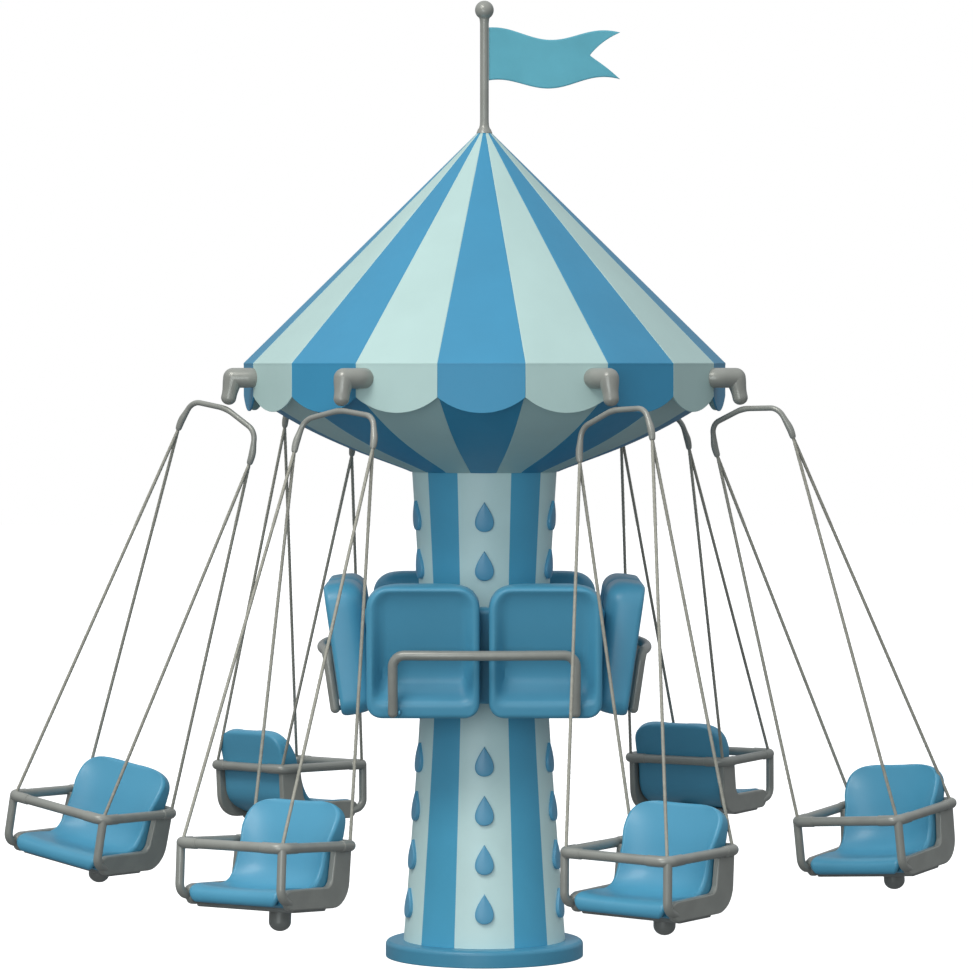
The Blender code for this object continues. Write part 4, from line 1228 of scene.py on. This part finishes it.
def lap_bar_mesh():
    """Bowed rail across both seats with a leg down each side to its pivot."""
    foot = rim_out(LAP_PIVOT_Z) + LAP_STANDOFF
    top = rim_out(LAP_TOP_Z) + LAP_STANDOFF
    rail = []
    for step in range(LAP_STEPS + 1):
        across = 2 * step / LAP_STEPS - 1
        rail.append(Vector((LAP_HALF_WIDTH * across, -top - LAP_BULGE * (1 - across * across),
                            LAP_TOP_Z)))
    feet = [(-LAP_HALF_WIDTH, -foot, LAP_PIVOT_Z), (LAP_HALF_WIDTH, -foot, LAP_PIVOT_Z)]
    left = rounded_path([feet[0], rail[0], rail[1]], LAP_CORNER, 10)
    right = rounded_path([rail[-2], rail[-1], feet[1]], LAP_CORNER, 10)
    path = left[:-1] + rail[1:-1] + right[1:]
    radii = [LAP_RADIUS] * len(path)
    ends = []
    for end, before in ((path[0], path[1]), (path[-1], path[-2])):
        along = (end - before).normalized()
        ends.append([(end + along * distance, radius)
                     for distance, radius in rounded_end(LAP_RADIUS, LAP_RADIUS, 6)[:-1]])
    points = [p for p, r in ends[0][::-1]] + path + [p for p, r in ends[1]]
    radii = [r for p, r in ends[0][::-1]] + radii + [r for p, r in ends[1]]
    bm = bmesh.new()
    add_tube(bm, points, radii)
    return mesh_of(bm, "lap_rail", [GREY_PAINT], 50)


def square_ring(half, corner, height, count):
    """Points round a square with rounded corners, evenly spread by angle."""
    ring = []
    for index in range(count):
        angle = 2 * math.pi * index / count
        ray = Vector((math.cos(angle), math.sin(angle), 0.0))
        reach = half / max(abs(ray.x), abs(ray.y))
        flat = half - corner
        if min(abs(ray.x), abs(ray.y)) * reach > flat:
            centre = Vector((math.copysign(flat, ray.x), math.copysign(flat, ray.y), 0.0))
            along = ray.dot(centre)
            reach = along + math.sqrt(corner * corner - (centre.length_squared - along * along))
        ring.append(ray * reach + Vector((0.0, 0.0, height)))
    return ring


def make_collar():
    """Square sleeve that slides on the tower, with rounded edges outside and in its bore."""
    slab = SEAT_THICKNESS / math.cos(math.radians(SEAT_LEAN)) + COLLAR_GAP
    ends = ((COLLAR_BOTTOM_Z, 1), (COLLAR_TOP_Z, -1))
    rings = []
    for z, sign in ends:
        half = rim_out(z) - slab
        rings += [square_ring(half - COLLAR_EDGE * (1 - s), COLLAR_CORNER,
                              z + sign * COLLAR_EDGE * (1 - c), COLLAR_POINTS)
                  for c, s in quarter_turn(4)][::sign]
    for z, sign in ends[::-1]:
        bore = []
        for c, s in quarter_turn(3):
            radius = COLLAR_HOLE + COLLAR_EDGE * (1 - s)
            height = z + sign * COLLAR_EDGE * (1 - c)
            bore.append([Vector((radius * x, radius * y, height))
                         for x, y in circle(COLLAR_POINTS)])
        rings += bore[::-sign]
    bm = bmesh.new()
    skin(bm, rings, closed=True)
    shape(bm, "carriage_sleeve", [BASE_BLUE], 50, "carriage", "base_blue", "carriage_collar",
          flats=True)


def make_carriage():
    make_collar()
    seats = {"left": drop_seat_mesh(-1), "right": drop_seat_mesh(1)}
    bar = lap_bar_mesh()
    for side, bearing in SIDES:
        for hand, mesh in seats.items():
            piece(f"moulded_seat_{side}_{hand}", mesh, "carriage", "seat_blue",
                  f"drop_seat_{side}_{hand}", matrix=turned(bearing))
        piece(f"lap_rail_{side}", bar, f"restraint_{side}", "grey_steel", f"lap_bar_{side}",
              matrix=turned(bearing))


def dress_hidden_parts():
    hub = frame["nodes"]["canopy_hub"]
    hub.data.materials.clear()
    hub.data.materials.append(DARK_GREY)


def make_floor():
    bm = bmesh.new()
    bmesh.ops.create_grid(bm, x_segments=8, y_segments=8, size=FLOOR_SIZE / 2)
    bmesh.ops.translate(bm, verts=bm.verts, vec=(0.0, 0.0, -FLOOR_DROP))
    material = grained("floor", (0.40, 0.40, 0.40), 0.85, 0.01, 3.0, 220.0, 0.02)
    set_inputs(material.node_tree.nodes["Principled BSDF"], Specular_IOR_Level=0.0,
               Emission_Color=WHITE, Emission_Strength=1.0)
    floor = placed("floor", mesh_of(bm, "floor", [material], 35))
    floor.visible_diffuse = False
    floor.visible_glossy = False


def make_lights():
    """Soft studio: a dome bright above and dim below that the camera sees as white, a broad
    key from the upper left and a low fill."""
    world = bpy.data.worlds.new("studio")
    bpy.context.scene.world = world
    world.use_nodes = True
    tree = world.node_tree
    ray = add_node(tree, "TexCoord").outputs["Generated"]
    height = add_node(tree, "SeparateXYZ", Vector=ray).outputs["Z"]
    lift = add_node(tree, "MapRange", Value=height, From_Min=-1.0, From_Max=1.0)
    dome = add_ramp(tree, lift.outputs["Result"], DOME)
    seen = add_node(tree, "LightPath").outputs["Is Camera Ray"]
    plain = add_node(tree, "MixRGB", Fac=seen, Color1=dome, Color2=WHITE)
    set_inputs(tree.nodes["Background"], Color=plain.outputs["Color"])
    for name, (place, aim, energy, colour) in LAMPS.items():
        light = bpy.data.lights.new(name, "AREA")
        light.shape = "DISK"
        light.size = LAMP_SIZE
        light.energy = energy
        light.color = colour
        lamp = placed(name, light)
        lamp.location = place
        lamp.rotation_euler = (Vector(aim) - lamp.location).to_track_quat("-Z", "Y").to_euler()


def make_camera():
    """Level eye at the canopy's rim, tipped down to frame the whole ride."""
    focal = CAMERA_DISTANCE / PIXEL
    data = bpy.data.cameras.new("camera")
    data.sensor_width = SENSOR
    data.lens = SENSOR * focal / PICTURE
    data.clip_end = 200.0
    camera = placed("camera", data)
    camera.location = ((PICTURE / 2 - AXIS_COLUMN) * PIXEL, -CAMERA_DISTANCE, RIM_Z)
    tilt = math.atan((PICTURE / 2 - HORIZON_ROW) / focal)
    camera.rotation_euler = (math.radians(90) - tilt, 0.0, 0.0)
    bpy.context.scene.camera = camera


def make_ride():
    make_base()
    make_tower()
    make_drops()
    make_roof()
    make_underside()
    make_valance()
    make_flag(make_pole())
    for entry in SWINGS:
        make_arm(*entry[:3])
    tubework = chair_frame_mesh()
    bucket = chair_shell_mesh()
    for entry in SWINGS:
        make_swing(entry[0], *entry[3:], tubework, bucket)
    make_carriage()
    dress_hidden_parts()


make_camera()
make_lights()
make_floor()
make_ride()
bpy.context.scene.view_settings.view_transform = "Standard"
